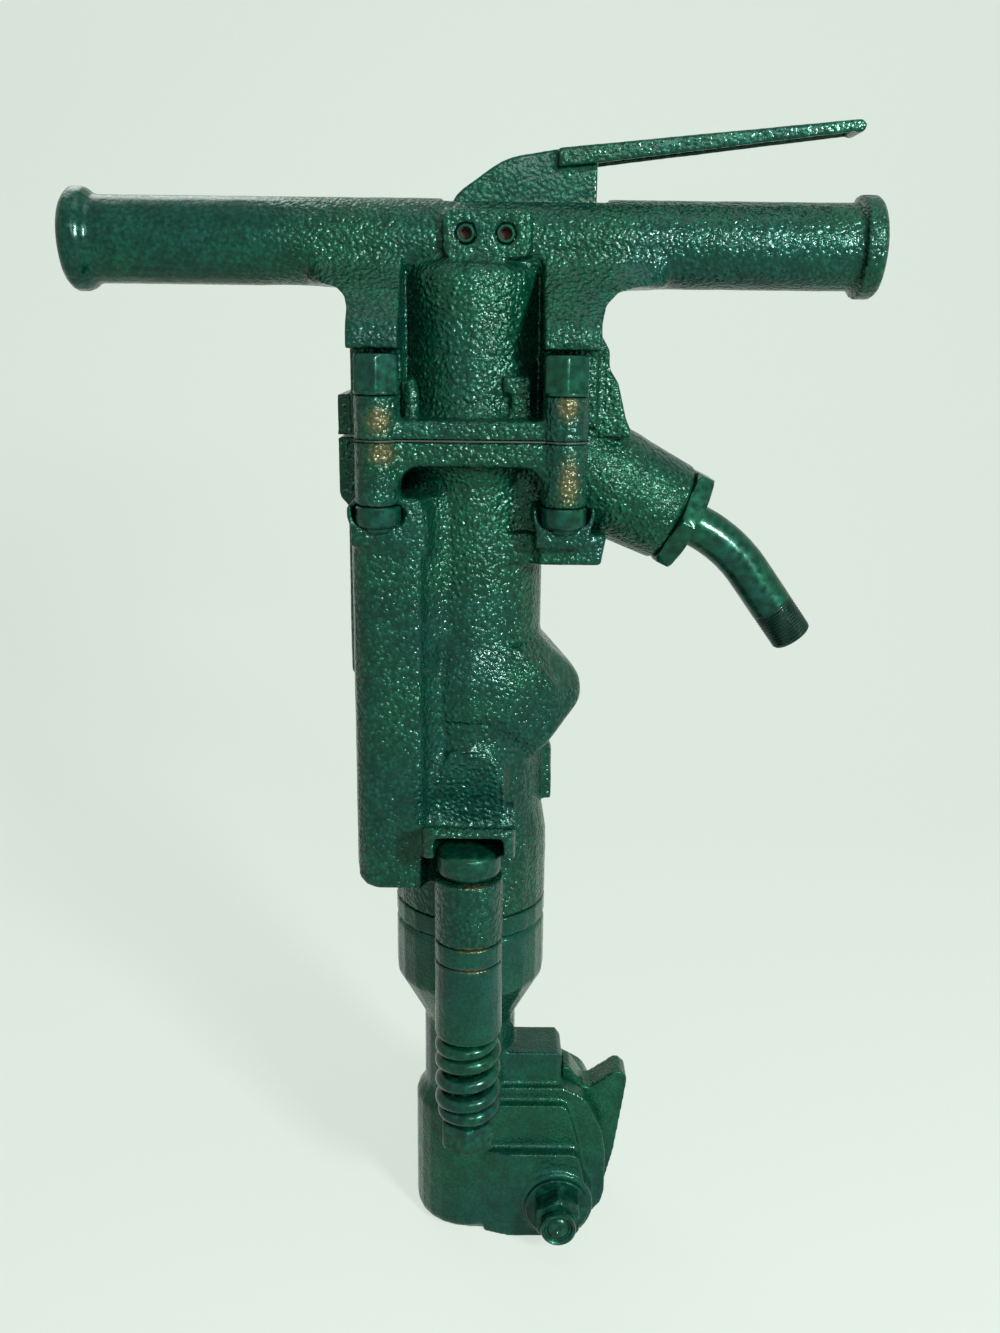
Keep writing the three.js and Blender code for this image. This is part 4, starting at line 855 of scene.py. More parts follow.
def middle(node: str) -> Vector:
    """Returns the centre of a node's box."""
    low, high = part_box(node)
    return (low + high) / 2


def upright(node: str) -> tuple[Vector, Vector, Matrix]:
    """Returns a node's lowest corner, its highest corner and the frame of its upright axis."""
    centre = middle(node)
    return *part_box(node), Matrix.Translation((centre.x, centre.y, 0.0))


# Assemblies


@dataclass
class Castings:
    """The cast shells, skinned over their solids."""

    voxel: float = 1.2 * MM
    rounds: int = 11
    barrel: float = 43.5 * MM
    belt_radius: float = 48 * MM
    belt_full: float = 396 * MM
    belt_top: float = 417 * MM
    hood_root: float = 303 * MM
    hood_lip: float = 316 * MM
    flange_top: float = 551.7 * MM
    column_step: float = 585.3 * MM
    arch: float = 13 * MM
    bush_neck: float = 45 * MM
    head_shoulder: float = 226 * MM
    tip_radius: float = 3.8 * MM
    tip_half: float = 12.3 * MM
    sleek_grip: WornPatch = WornPatch(mm(-185, 0, 652), mm(130, 60, 60))
    sleek_facet: WornPatch = WornPatch(mm(62, -16, 402), mm(22, 36, 26))

    def build(self) -> None:
        """Makes each casting and dresses it."""
        seam_low, seam_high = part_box("backhead_gasket")
        bush_low, bush_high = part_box("anvil_bush")
        seams = (seam_low.z, seam_high.z)
        flange = bush_low.z + self.bush_neck
        bosses = self._boss_wear(seam_low.z)
        grooves = self._groove_wear()
        upper = HammeredPaint("backhead_enamel", patches=bosses, sleek=(self.sleek_grip,)).material()
        lower = HammeredPaint("cylinder_enamel", patches=bosses + grooves,
                              sleek=(self.sleek_facet,)).material()
        # The front head's finer pebbles carry weaker painted shade in their hollows.
        head = HammeredPaint("front_head_enamel", pebble=2.2 * MM, pebble_depth=0.3 * MM,
                             hollow_shade=0.3, patches=grooves).material()
        fine = HammeredPaint("lever_enamel", pebble=2.8 * MM, pebble_depth=0.42 * MM,
                             patches=self._lever_wear()).material()
        for recipe, finish in (
            (Recipe("backhead", Body.CYLINDER, self.voxel, self.rounds, seams, self._flares(),
                    self._fill_backhead, None, self._groove_backhead), upper),
            (Recipe("cylinder", Body.CYLINDER, self.voxel, self.rounds, (*seams, flange),
                    self._melts(seam_low.z), self._fill_cylinder, self._shape_cylinder,
                    self._groove_cylinder), lower),
            (Recipe("front_head", Body.HEAD, crisp=(self.head_shoulder,)), head),
            (Recipe("anvil_bush", Body.HEAD, 1.0 * MM, 3, (bush_high.z, flange)), head),
            (Recipe("latch", Body.LATCH), head),
            (Recipe("throttle_lever", Body.LEVER, 0.85 * MM, 9, fill=self._fill_lever), fine),
        ):
            self._skin(recipe, finish)

    def _flares(self) -> tuple[Melt, ...]:
        """Returns the stretches where the grips flare into the legs."""
        return tuple(
            Melt((left * MM, -36 * MM, 612 * MM), ((left + 46) * MM, 36 * MM, 652 * MM), 60)
            for left in (-124, 78)
        )

    def _melts(self, seam: float) -> tuple[Melt, ...]:
        """Names the cylinder's rounder stretches.

        Args:
            seam: height of the flange joint.

        Returns:
            The wing, the valleys beside the box, the arches and the box's top lobes.
        """
        valleys = tuple(
            Melt((-48 * MM, low, 292 * MM), (-8 * MM, high, 512 * MM), 36)
            for low, high in (mm(-80, -22), mm(22, 80))
        )
        arches = tuple(
            Melt((-44 * MM, low, seam - 52 * MM), (44 * MM, high, seam - 8 * MM), 22, 5 * MM)
            for low, high in (mm(-80, -34), mm(34, 80))
        )
        return (Melt(mm(-2, -80, 322), mm(90, 80, 426), 60),) + valleys + arches

    def _fill_cylinder(self, form: Form) -> None:
        """Adds the cast-on shapes round the rod heads and the lower bolt nuts.

        Args:
            form: the cylinder's shapes.
        """
        for sign in (-1, 1):
            form.across((
                (sign * 43 * MM, self.hood_root - 5 * MM), (sign * 85.5 * MM, self.hood_lip - 5 * MM),
                (sign * 85.5 * MM, self.hood_lip - 2 * MM), (sign * 43 * MM, self.hood_root + 8 * MM),
            ), -21 * MM, 21 * MM)
        for number in range(1, 5):
            self._cradle(form, f"backhead_nut_{number}")
        self._lobes(form)
        self._arches(form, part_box("backhead_gasket")[0].z - 14 * MM)

    def _cradle(self, form: Form, nut: str) -> None:
        """Adds the snug pocket round a lower nut, open to the outside.

        Args:
            form: the cylinder's shapes.
            nut: the nut's node.
        """
        low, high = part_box(nut)
        centre = (low + high) / 2
        radius = (high.y - low.y) / 2
        way = 1 if centre.y > 0 else -1
        room = radius + 1.3 * MM
        rounding = 7 * MM
        thickness = 2.6 * MM
        face = 4.5 * MM
        rear = -room - 2 * MM
        floor = low.z - 1.2 * MM
        steps = 5
        for step in range(-2, steps + 1):
            rise = max(step, 0) / steps
            bottom = floor + rounding * (1 - math.cos(rise * math.pi / 2)) + min(step, 0) * 1.6 * MM
            wall = room - rounding * (1 - math.sin(rise * math.pi / 2))
            half = wall + thickness + min(step, 0) * 2 * MM
            top = high.z if step == steps else bottom + thickness
            outline = [(centre.x + half, centre.y + way * face)]
            if step >= 0:
                turn = math.acos(face / wall)
                for point in range(17):
                    angle = turn + (2 * math.pi - 2 * turn) * point / 16
                    outline.append((centre.x + wall * math.sin(angle),
                                    centre.y + way * wall * math.cos(angle)))
            outline += [
                (centre.x - half, centre.y + way * face),
                (centre.x - half, centre.y + way * rear),
                (centre.x + half, centre.y + way * rear),
            ]
            form.prism(outline, bottom, top)
        near, far = sorted((centre.y + way * face, centre.y + way * (rear + 4 * MM)))
        foot = room + 0.5 * MM
        form.block((centre.x - foot, near, floor - 10 * MM), (centre.x + foot, far, floor + MM))

    def _lobes(self, form: Form) -> None:
        """Adds the rounded corners beside the left nuts.

        Args:
            form: the cylinder's shapes.
        """
        for sign in (-1, 1):
            form.turned((mm(7.9, 474), mm(7.9, 498), mm(6.9, 502.5),
                         mm(4.0, 505.2), mm(0.6, 506)),
                        Matrix.Translation((-30.5 * MM, sign * 49.5 * MM, 0.0)), 32)

    def _arches(self, form: Form, underside: float) -> None:
        """Rounds the corners between the bosses and the flange's underside.

        Args:
            form: the cylinder's shapes.
            underside: the flange's lower height.
        """
        for number in range(1, 5):
            bolt = middle(f"backhead_bolt_{number}")
            inward = -1 if bolt.x > 0 else 1
            wall = bolt.x + inward * 12.5 * MM
            corner = [(wall - inward * 3 * MM, underside + MM), (wall + inward * self.arch, underside + MM)]
            for step in range(9):
                angle = math.pi / 2 * step / 8
                corner.append((wall + inward * self.arch * (1 - math.sin(angle)),
                               underside - self.arch * (1 - math.cos(angle))))
            corner.append((wall - inward * 3 * MM, underside - self.arch))
            front, rear = sorted((math.copysign(61 * MM, bolt.y), math.copysign(44 * MM, bolt.y)))
            form.grid([[Vector((x, y, z)) for x, z in corner] for y in (front, rear)])

    def _shape_cylinder(self, clay: Clay) -> None:
        """Shaves the belt's shoulder, the wing's front corner and the top of the hoods.

        Args:
            clay: the cylinder's skin.
        """
        points = clay.points
        radius = np.hypot(points[:, 0], points[:, 1])
        cone = self.belt_radius - (points[:, 2] - self.belt_full) * (self.belt_radius - self.barrel) / (
            self.belt_top - self.belt_full)
        beside = np.clip((34 * MM - points[:, 0]) / (14 * MM), 0.0, 1.0)
        band = (points[:, 2] > self.belt_full) & (points[:, 2] < self.belt_top + 2 * MM)
        band &= (points[:, 0] > -20 * MM) & (np.abs(points[:, 1]) > 20 * MM)
        extra = np.where(band, np.maximum(radius - cone, 0.0) * beside, 0.0)
        clay.tuck(extra)
        for sign in (-1, 1):
            near, far = sorted((sign * 90 * MM, 0.0))
            clay.shave((0.747, sign * 0.455, 0.485), (32 * MM, sign * 44 * MM, 408.4 * MM),
                       (8 * MM, near, 370 * MM), (90 * MM, far, 425 * MM))
        depth = np.abs(points[:, 1])
        limit = self.hood_root + (depth - 49 * MM) * (self.hood_lip - self.hood_root) / (33 * MM)
        hood = (np.abs(points[:, 0]) < 31 * MM) & (depth > 49.4 * MM) & (depth < 81 * MM)
        hood &= (points[:, 2] > limit) & (points[:, 2] < self.hood_lip + 6 * MM)
        points[hood, 2] = limit[hood]

    def _groove_cylinder(self, clay: Clay) -> None:
        """Presses the belt's lower edge and the pad's outline into the skin.

        Args:
            clay: the cylinder's skin.
        """
        points = clay.points
        front = np.abs(points[:, 1]) > 24 * MM
        left = np.clip((24 * MM - points[:, 0]) / (12 * MM), 0.0, 1.0)
        left *= np.clip((points[:, 0] + 40 * MM) / (8 * MM), 0.0, 1.0)
        line = np.exp(-((points[:, 2] - 369 * MM) / (1.5 * MM)) ** 2)
        clay.tuck(np.where(front, 0.9 * MM * line * left, 0.0))
        across = np.abs(points[:, 0]) - 6.5 * MM
        up = np.abs(points[:, 2] - 328 * MM) - 10.5 * MM
        away = np.hypot(np.maximum(across, 0.0), np.maximum(up, 0.0)) + np.minimum(
            np.maximum(across, up), 0.0) - 12.3 * MM
        ring = np.exp(-(away / (1.1 * MM)) ** 2)
        flat = (points[:, 1] < -40 * MM) & (points[:, 1] > -52 * MM)
        points[flat, 1] += 0.8 * MM * ring[flat]

    def _fill_backhead(self, form: Form) -> None:
        """Adds the plug, the stop lug and the fillet at the column's foot.

        Args:
            form: the backhead's shapes.
        """
        top = self.flange_top
        plug = Matrix.Translation((-34.5 * MM, -42 * MM, top - 6 * MM))
        form.turned((mm(4.9, 0), mm(4.9, 19), mm(4.1, 24), mm(2.9, 27.5),
                     mm(1.2, 29.5)), plug, 24)
        form.block((22 * MM, -42 * MM, top - 4 * MM), (34 * MM, -22 * MM, top + 24 * MM))
        form.turned(((40 * MM, top - 2 * MM), (47.5 * MM, top - MM), (45 * MM, top + 2 * MM),
                     (43.6 * MM, top + 5 * MM), (40 * MM, top + 7 * MM)))

    def _fill_lever(self, form: Form) -> None:
        """Adds the rounded end of the arm.

        Args:
            form: the lever's shapes.
        """
        _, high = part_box("throttle_lever")
        place = Matrix.Translation((high.x - 4.2 * MM, 0.0, high.z - 4.0 * MM))
        form.turned(((self.tip_radius, -self.tip_half), (self.tip_radius, self.tip_half)),
                    place @ Matrix.Rotation(math.pi / 2, 4, "X"), 24)

    def _groove_backhead(self, clay: Clay) -> None:
        """Presses the ring round the column into the skin.

        Args:
            clay: the backhead's skin.
        """
        points = clay.points
        radius = np.hypot(points[:, 0], points[:, 1])
        column = (radius > 39 * MM) & (radius < 46 * MM)
        line = np.exp(-((points[:, 2] - self.column_step) / (1.4 * MM)) ** 2)
        clay.tuck(np.where(column, 1.0 * MM * line, 0.0))

    def _boss_wear(self, seam: float) -> tuple[WornPatch, ...]:
        """Places the rubbed spots on the front bosses.

        Args:
            seam: height of the flange joint.

        Returns:
            The spots on the left boss, the right boss and the joint's edge.
        """
        bolt = middle("backhead_bolt_1")
        right = abs(bolt.x)
        front = -abs(bolt.y) - 12 * MM
        return (
            WornPatch((-right + 4 * MM, front, seam - 6 * MM), mm(16, 14, 12)),
            WornPatch((-right + 2 * MM, front, seam + 12 * MM), mm(13, 12, 15)),
            WornPatch((-right, front, seam - 38 * MM), mm(12, 11, 5)),
            WornPatch((right + MM, front, seam + 20 * MM), mm(12, 11, 15)),
            WornPatch((right + 2 * MM, front, seam - 22 * MM), mm(11, 12, 26)),
            WornPatch((-14 * MM, -66 * MM, seam + 0.5 * MM), mm(44, 10, 2.2)),
        )

    def _groove_wear(self) -> tuple[WornPatch, ...]:
        """Returns the rubbed rims of the joints down the front side rod."""
        rod = middle("side_rod_front")
        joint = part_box("cylinder")[0].z
        front = rod.y - 20 * MM
        rims = (joint, joint - 13.4 * MM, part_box("side_rod_front")[1].z - 17 * MM)
        return tuple(
            WornPatch((rod.x + 3 * MM, front, level), mm(20, 14, 3.2)) for level in rims
        )

    def _lever_wear(self) -> tuple[WornPatch, ...]:
        """Returns the rubbed corner of the lever's web."""
        low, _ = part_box("throttle_lever")
        return (WornPatch((66 * MM, -8 * MM, low.z + 26 * MM), mm(14, 12, 9)),)

    def _skin(self, recipe: Recipe, finish: Material) -> None:
        """Makes one casting.

        Args:
            recipe: how it is made from its solid.
            finish: its paint.
        """
        form = Form()
        form.solid(recipe.node)
        if recipe.fill is not None:
            recipe.fill(form)
        piece = form.finished(f"{recipe.node}_casting")
        cast(piece, recipe)
        dressed(piece, finish, recipe.body, Slot.PAINT, recipe.node, smooth=180)


@dataclass
class FlangeBolts:
    """The four bolts through the flanges, with their washer faces and rounded nuts."""

    head_across: float = 24.5 * MM
    head_height: float = 22 * MM
    face_height: float = 2 * MM
    face_radius: float = 13.2 * MM
    shank: float = 7.9 * MM

    def build(self) -> None:
        """Makes each bolt and its nut."""
        paint = FittingPaint("bolt_enamel").material()
        for number in range(1, 5):
            self._bolt(f"backhead_bolt_{number}", paint)
            self._nut(f"backhead_nut_{number}", paint)

    def _bolt(self, node: str, paint: Material) -> None:
        """Makes one bolt.

        Args:
            node: the bolt's node.
            paint: its finish.
        """
        low, high, place = upright(node)
        seat = high.z - self.head_height
        form = Form()
        form.turned(rounded(self.face_radius, seat, seat + self.face_height, 0.4 * MM, 0.7 * MM), place)
        base = seat + self.face_height * 0.8
        form.hexed(self.head_across, (
            (0.985, base), (0.985, high.z - 2.2 * MM), (0.95, high.z - 1.0 * MM),
            (0.89, high.z - 0.25 * MM), (0.84, high.z),
        ), place)
        form.turned(((self.shank, low.z + MM), (self.shank, seat + MM)), place)
        form.turned(((self.shank - MM, low.z), (self.shank, low.z + MM)), place)
        dressed(form.finished(f"{node}_forged"), paint, Body.CYLINDER, Slot.PAINTED_STEEL, node)

    def _nut(self, node: str, paint: Material) -> None:
        """Makes one nut, closed and rounded below.

        Args:
            node: the nut's node.
            paint: its finish.
        """
        low, high, place = upright(node)
        radius = (high.y - low.y) / 2 * 0.93
        form = Form()
        form.ring((
            (self.shank + 0.15 * MM, low.z), (radius - 4 * MM, low.z), (radius - 1.6 * MM, low.z + MM),
            (radius - 0.4 * MM, low.z + 2.6 * MM), (radius, low.z + 5 * MM), (radius, high.z - MM),
            (radius - MM, high.z), (self.shank + 0.15 * MM, high.z),
        ), place)
        dressed(form.finished(f"{node}_turned"), paint, Body.CYLINDER, Slot.PAINTED_STEEL, node)


@dataclass
class SideRods:
    """The long rods in front and behind, with capped heads, nuts and threads."""

    head_height: float = 17.5 * MM
    head_radius: float = 19.4 * MM
    rod_radius: float = 9 * MM
    thread: float = 30 * MM
    pitch: float = 2.5 * MM
    nut_across: float = 32 * MM

    def build(self) -> None:
        """Makes both rods and their nuts."""
        paint = FittingPaint("rod_enamel", pebble=4 * MM, pebble_depth=0.2 * MM, wave=14 * MM,
                             wave_depth=0.4 * MM, roughness=0.32).material()
        for side in ("front", "rear"):
            self._rod(f"side_rod_{side}", paint)
            self._nut(f"side_rod_nut_{side}", paint)

    def _rod(self, node: str, paint: Material) -> None:
        """Makes one rod.

        Args:
            node: the rod's node.
            paint: its finish.
        """
        low, high, place = upright(node)
        seat = high.z - self.head_height
        form = Form()
        form.turned(rounded(self.head_radius, seat, high.z, 6 * MM, 4 * MM), place)
        thread_top = low.z + self.thread
        form.turned(((self.rod_radius, thread_top - MM), (self.rod_radius, seat + MM)), place)
        down = place @ Matrix.Translation((0.0, 0.0, low.z)) @ Matrix.Rotation(math.pi, 4, "X")
        form.threaded(self.rod_radius, low.z - thread_top, 0.0, self.pitch, down)
        dressed(form.finished(f"{node}_forged"), paint, Body.CYLINDER, Slot.PAINT, node)

    def _nut(self, node: str, paint: Material) -> None:
        """Makes one nut.

        Args:
            node: the nut's node.
            paint: its finish.
        """
        low, high, place = upright(node)
        form = Form()
        form.hexed(self.nut_across, (
            (0.8, low.z), (0.88, low.z + 0.5 * MM), (0.94, low.z + 1.4 * MM), (0.985, low.z + 2.8 * MM),
            (0.985, high.z - 2.8 * MM), (0.94, high.z - 1.4 * MM), (0.88, high.z - 0.5 * MM), (0.8, high.z),
        ), place)
        dressed(form.finished(f"{node}_forged"), paint, Body.CYLINDER, Slot.PAINTED_STEEL, node)


@dataclass(frozen=True)
class Coil:
    """One coil spring's sizes, with the name and travel of the joint that presses it, which nothing here
    reads.
    """

    node: str
    axle: str
    body: Body
    slot: Slot
    joint: str
    travel: float
    outer: float
    wire: float
    turns: float
    hangs: bool = True


@dataclass
class Springs:
    """The side rod springs, and the small springs of the throttle and the latch."""

    steps: int = 36

    def build(self) -> None:
        """Makes each spring."""
        paint = FittingPaint("spring_enamel", pebble=5 * MM, pebble_depth=0.12 * MM,
                             roughness=0.26).material()
        steel = MachinedMetal("spring_steel", (0.42, 0.42, 0.44)).material()
        for side in ("front", "rear"):
            self._spring(Coil(f"side_rod_spring_{side}", f"side_rod_{side}", Body.HEAD,
                              Slot.PAINTED_STEEL, "side_rod_give", 6 * MM, 21 * MM, 5 * MM, 4.6), paint)
        self._spring(Coil("throttle_spring", "throttle_spring", Body.CYLINDER, Slot.STEEL,
                          "throttle_travel", 7.6 * MM, 7.6 * MM, 1.0 * MM, 5.0, hangs=False), steel)
        self._spring(Coil("latch_spring", "latch_spring", Body.HEAD, Slot.STEEL,
                          "plunger_travel", 3 * MM, 5.4 * MM, 0.8 * MM, 4.0), steel)

    def _spring(self, coil: Coil, finish: Material) -> None:
        """Makes one spring in its node's place.

        Args:
            coil: the spring.
            finish: its material.
        """
        low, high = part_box(coil.node)
        axle = middle(coil.axle)
        mean = coil.outer - coil.wire
        bottom = low.z + coil.wire * 0.8
        top = high.z - coil.wire * 0.8
        count = int(coil.turns * self.steps)
        path = []
        for number in range(count + 1):
            turn = number / self.steps
            angle = 2 * math.pi * turn + math.pi * 0.85
            path.append(Vector((
                axle.x + mean * math.cos(angle),
                axle.y + mean * math.sin(angle),
                bottom + (top - bottom) * self._rise(turn / coil.turns),
            )))
        form = Form()
        form.wire(path, lambda number: coil.wire * self._thickness(number, count))
        piece = form.finished(f"{coil.node}_wire")
        dressed(piece, finish, coil.body, coil.slot, coil.node, smooth=50)
        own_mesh(piece)

    def _thickness(self, number: int, count: int) -> float:
        """Thins the wire where its ends are ground flat.

        Args:
            number: the point's number.
            count: the last point's number.

        Returns:
            The share of the wire's radius that is left there.
        """
        end = min(number, count - number) / self.steps
        return min(1.0, 0.55 + 1.2 * end)

    def _rise(self, share: float) -> float:
        """Flattens the end turns.

        Args:
            share: how far along the wire.

        Returns:
            How far up the spring.
        """
        eased = share - 0.75 * math.sin(2 * math.pi * share) / (2 * math.pi) * 0.4
        return min(max(eased, 0.0), 1.0)


@dataclass
class InletFitting:
    """The swivel nut of the air inlet and its bent pipe with a threaded end."""

    eye: Point = mm(123.5, 0, 492.5)
    slope: float = math.radians(26)
    nut_across: float = 59 * MM
    nut_thickness: float = 12 * MM
    nut_spigot: float = 22 * MM
    spigot_radius: float = 24 * MM
    hole_radius: float = 13.9 * MM
    collar_seat: float = 20 * MM
    pipe_radius: float = 13.3 * MM
    bore_radius: float = 10.5 * MM
    collar_radius: float = 19.5 * MM
    straight: float = 16 * MM
    bend_radius: float = 94 * MM
    bend: float = math.radians(28)
    tail: float = 51 * MM
    thread: float = 25 * MM
    pitch: float = 1.9 * MM

    def build(self) -> None:
        """Makes the nut and the pipe."""
        place = Matrix.Translation(self.eye) @ Matrix.Rotation(math.pi / 2 + self.slope, 4, "Y")
        paint = FittingPaint("inlet_enamel", pebble_depth=0.16 * MM, wave=16 * MM,
                             wave_depth=0.4 * MM).material()
        self._nut(place, paint)
        self._pipe(place, paint)

    def _nut(self, place: Matrix, paint: Material) -> None:
        """Makes the big hexagonal nut with its hidden spigot.

        Args:
            place: the inlet's frame.
            paint: its finish.
        """
        corner = self.nut_across / math.sqrt(3)
        top = self.nut_thickness
        lip = -3 * MM
        outside = (
            (self.spigot_radius, -self.nut_spigot), (self.spigot_radius, 0.1 * MM),
            (corner * 0.86, 0.12 * MM), (corner * 0.93, 0.7 * MM), (corner * 0.985, 2.4 * MM),
            (corner * 0.985, top - 2.6 * MM), (corner * 0.94, top - 1.0 * MM),
            (corner * 0.86, top - 0.2 * MM), (corner * 0.8, top),
        )
        inside = (
            (self.hole_radius + MM, top), (self.hole_radius, top - MM), (self.hole_radius, lip),
            (self.collar_seat, lip), (self.collar_seat, -self.nut_spigot),
        )
        form = Form()
        form.loop([
            [place @ polar(min(radius, flat_at(self.nut_across, a)), a, height) for a in around(HEX_SIDES)]
            for radius, height in outside + inside
        ])
        dressed(form.finished("inlet_nut_forged"), paint, Body.CYLINDER, Slot.PAINT, "inlet_nut",
                smooth=35)

    def _pipe(self, place: Matrix, paint: Material) -> None:
        """Makes the bent pipe, with its collar, its bore and the thread at its end.

        Args:
            place: the inlet's frame.
            paint: its finish.
        """
        start = -self.nut_spigot - 0.1 * MM
        bend_run = self.bend_radius * self.bend
        end = self.straight + bend_run + self.tail
        stops = [start + 0.1 * MM, -3.2 * MM]
        reach = [self.collar_radius, self.collar_radius]
        run = -3.15 * MM
        plain_end = end - self.thread
        while run < plain_end:
            stops.append(run)
            reach.append(self.pipe_radius)
            run += 3 * MM
        rows = int(self.thread / self.pitch * 6)
        outer = [self._ring(place, stop, lambda a, r=r: r) for stop, r in zip(stops, reach)]
        for row in range(rows + 1):
            stop = plain_end + self.thread * row / rows
            outer.append(self._ring(place, stop, lambda a, s=stop: self._thread(s, a, end)))
        inner = [self._ring(place, stop, lambda a: self.bore_radius) for stop in (end, *reversed(stops))]
        form = Form()
        form.loop(outer + inner)
        dark = HammeredPaint("pipe_thread_enamel", green=(0.004, 0.03, 0.02), teal=(0.004, 0.022, 0.02),
                             pebble=2 * MM, pebble_depth=0.1 * MM, wave_depth=0.2 * MM,
                             roughness=0.45, coat=0.3).material()
        piece = form.finished("inlet_pipe_bent")
        dressed(piece, paint, Body.PIPE, Slot.PAINTED_STEEL, "inlet_pipe", smooth=50)
        piece.data.materials.append(dark)
        direction = (place.to_3x3() @ Vector((math.sin(self.bend), 0.0, math.cos(self.bend)))).normalized()
        mouth, _ = self._spine(end)
        limit = direction.dot(place @ mouth) - self.thread
        for face in piece.data.polygons:
            if direction.dot(face.center) > limit:
                face.material_index = 1

    def _spine(self, run: float) -> tuple[Vector, float]:
        """Follows the pipe's centre line.

        Args:
            run: distance along it in metres.

        Returns:
            The place in the inlet's frame and the angle turned.
        """
        if run <= self.straight:
            return Vector((0.0, 0.0, run)), 0.0
        turned = min((run - self.straight) / self.bend_radius, self.bend)
        point = Vector((self.bend_radius * (1 - math.cos(turned)), 0.0,
                        self.straight + self.bend_radius * math.sin(turned)))
        beyond = run - self.straight - self.bend_radius * self.bend
        if beyond > 0:
            point += Vector((math.sin(self.bend), 0.0, math.cos(self.bend))) * beyond
        return point, turned

    def _ring(self, place: Matrix, run: float, radius: Callable[[float], float]) -> list[Vector]:
        """Makes one ring of the pipe.

        Args:
            place: the inlet's frame.
            run: distance along the centre line.
            radius: gives the radius at an angle.

        Returns:
            The ring's points in the frame.
        """
        point, turned = self._spine(run)
        across = Vector((math.cos(turned), 0.0, -math.sin(turned)))
        sideways = Vector((0.0, 1.0, 0.0))
        return [place @ (point + (across * math.cos(a) + sideways * math.sin(a)) * radius(a))
                for a in around(PIPE_SIDES)]

    def _thread(self, run: float, angle: float, end: float) -> float:
        """Gives the threaded end's radius.

        Args:
            run: distance along the pipe.
            angle: the angle round it.
            end: the pipe's whole length.

        Returns:
            The radius there.
        """
        phase = (run / self.pitch - angle / (2 * math.pi)) % 1.0
        eased = min(1.0, (run - (end - self.thread)) / (3 * MM))
        cut = abs(phase - 0.5) * self.pitch * eased
        return min(self.pipe_radius - cut, self.pipe_radius - 1.4 * MM + (end - run))


@dataclass
class LatchFittings:
    """The latch's cross bolt, its nut and its washers."""

    pivot: Point = mm(60, 0, 27)
    across: float = 28.6 * MM
    head_height: float = 11 * MM
    shank: float = 9.4 * MM
    thread: float = 26 * MM
    pitch: float = 1.8 * MM
    washer_radius: float = 21.4 * MM
    rim_radius: float = 11.8 * MM

    def build(self) -> None:
        """Makes the bolt, the nut and the washers."""
        paint = FittingPaint("latch_bolt_enamel", pebble=5 * MM, pebble_depth=0.18 * MM,
                             roughness=0.28).material()
        place = Matrix.Translation(self.pivot) @ Matrix.Rotation(math.pi / 2, 4, "X")
        self._bolt(place, paint)
        self._nut(place, paint)
        for side in ("front", "rear"):
            self._washer(f"latch_washer_{side}", place, paint)

    def _bolt(self, place: Matrix, paint: Material) -> None:
        """Makes the cross bolt, its head behind and its threaded end in front.

        Args:
            place: the pivot's frame, with its Z towards the front.
            paint: its finish.
        """
        low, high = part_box("latch_bolt")
        head_end, tip = -high.y, -low.y
        seat = head_end + self.head_height
        form = Form()
        form.hexed(self.across, (
            (0.8, head_end), (0.9, head_end + 0.6 * MM), (0.985, head_end + 2.4 * MM),
            (0.985, seat - 0.8 * MM), (0.93, seat),
        ), place)
        thread_start = tip - self.thread
        form.turned(((self.shank, seat - MM), (self.shank, thread_start + MM)), place)
        form.threaded(self.shank, thread_start, tip - 5 * MM, self.pitch, place)
        rim = self.rim_radius
        cup = (
            (1.6, 6.6), (0.4, 5.6), (0.0, 4.2), (0.0, 1.6), (0.5, 0.5), (1.4, 0.1), (2.3, 0.6), (3.2, 2.2),
            (4.2, 2.4), (5.0, 1.6), (6.4, 0.7), (8.2, 0.25),
        )
        form.turned((
            (self.shank - MM, tip - 7.5 * MM),
            *((rim - inward * MM, tip - down * MM) for inward, down in cup),
            (2.0 * MM, tip - 0.2 * MM), (1.2 * MM, tip - 0.9 * MM),
        ), place)
        dressed(form.finished("latch_bolt_forged"), paint, Body.HEAD, Slot.PAINTED_STEEL, "latch_bolt",
                smooth=35)

    def _nut(self, place: Matrix, paint: Material) -> None:
        """Makes the front nut.

        Args:
            place: the pivot's frame, with its Z towards the front.
            paint: its finish.
        """
        low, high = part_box("latch_nut")
        seat, end = -high.y, -low.y
        form = Form()
        form.hexed(self.across, (
            (0.9, seat), (0.985, seat + 1.6 * MM), (0.985, end - 3 * MM), (0.94, end - 1.4 * MM),
            (0.87, end - 0.3 * MM), (0.8, end),
        ), place)
        dressed(form.finished("latch_nut_forged"), paint, Body.HEAD, Slot.PAINTED_STEEL, "latch_nut",
                smooth=35)

    def _washer(self, node: str, place: Matrix, paint: Material) -> None:
        """Makes one washer with rounded rims.

        Args:
            node: the washer's node.
            place: the pivot's frame, with its Z towards the front.
            paint: its finish.
        """
        low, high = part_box(node)
        seat, end = -high.y, -low.y
        inner = self.shank + 0.2 * MM
        outer = self.washer_radius
        form = Form()
        form.ring((
            (inner, seat), (outer - 0.6 * MM, seat), (outer, seat + 0.6 * MM), (outer, end - 0.6 * MM),
            (outer - 0.6 * MM, end), (inner, end),
        ), place)
        dressed(form.finished(f"{node}_turned"), paint, Body.HEAD, Slot.PAINTED_STEEL, node)


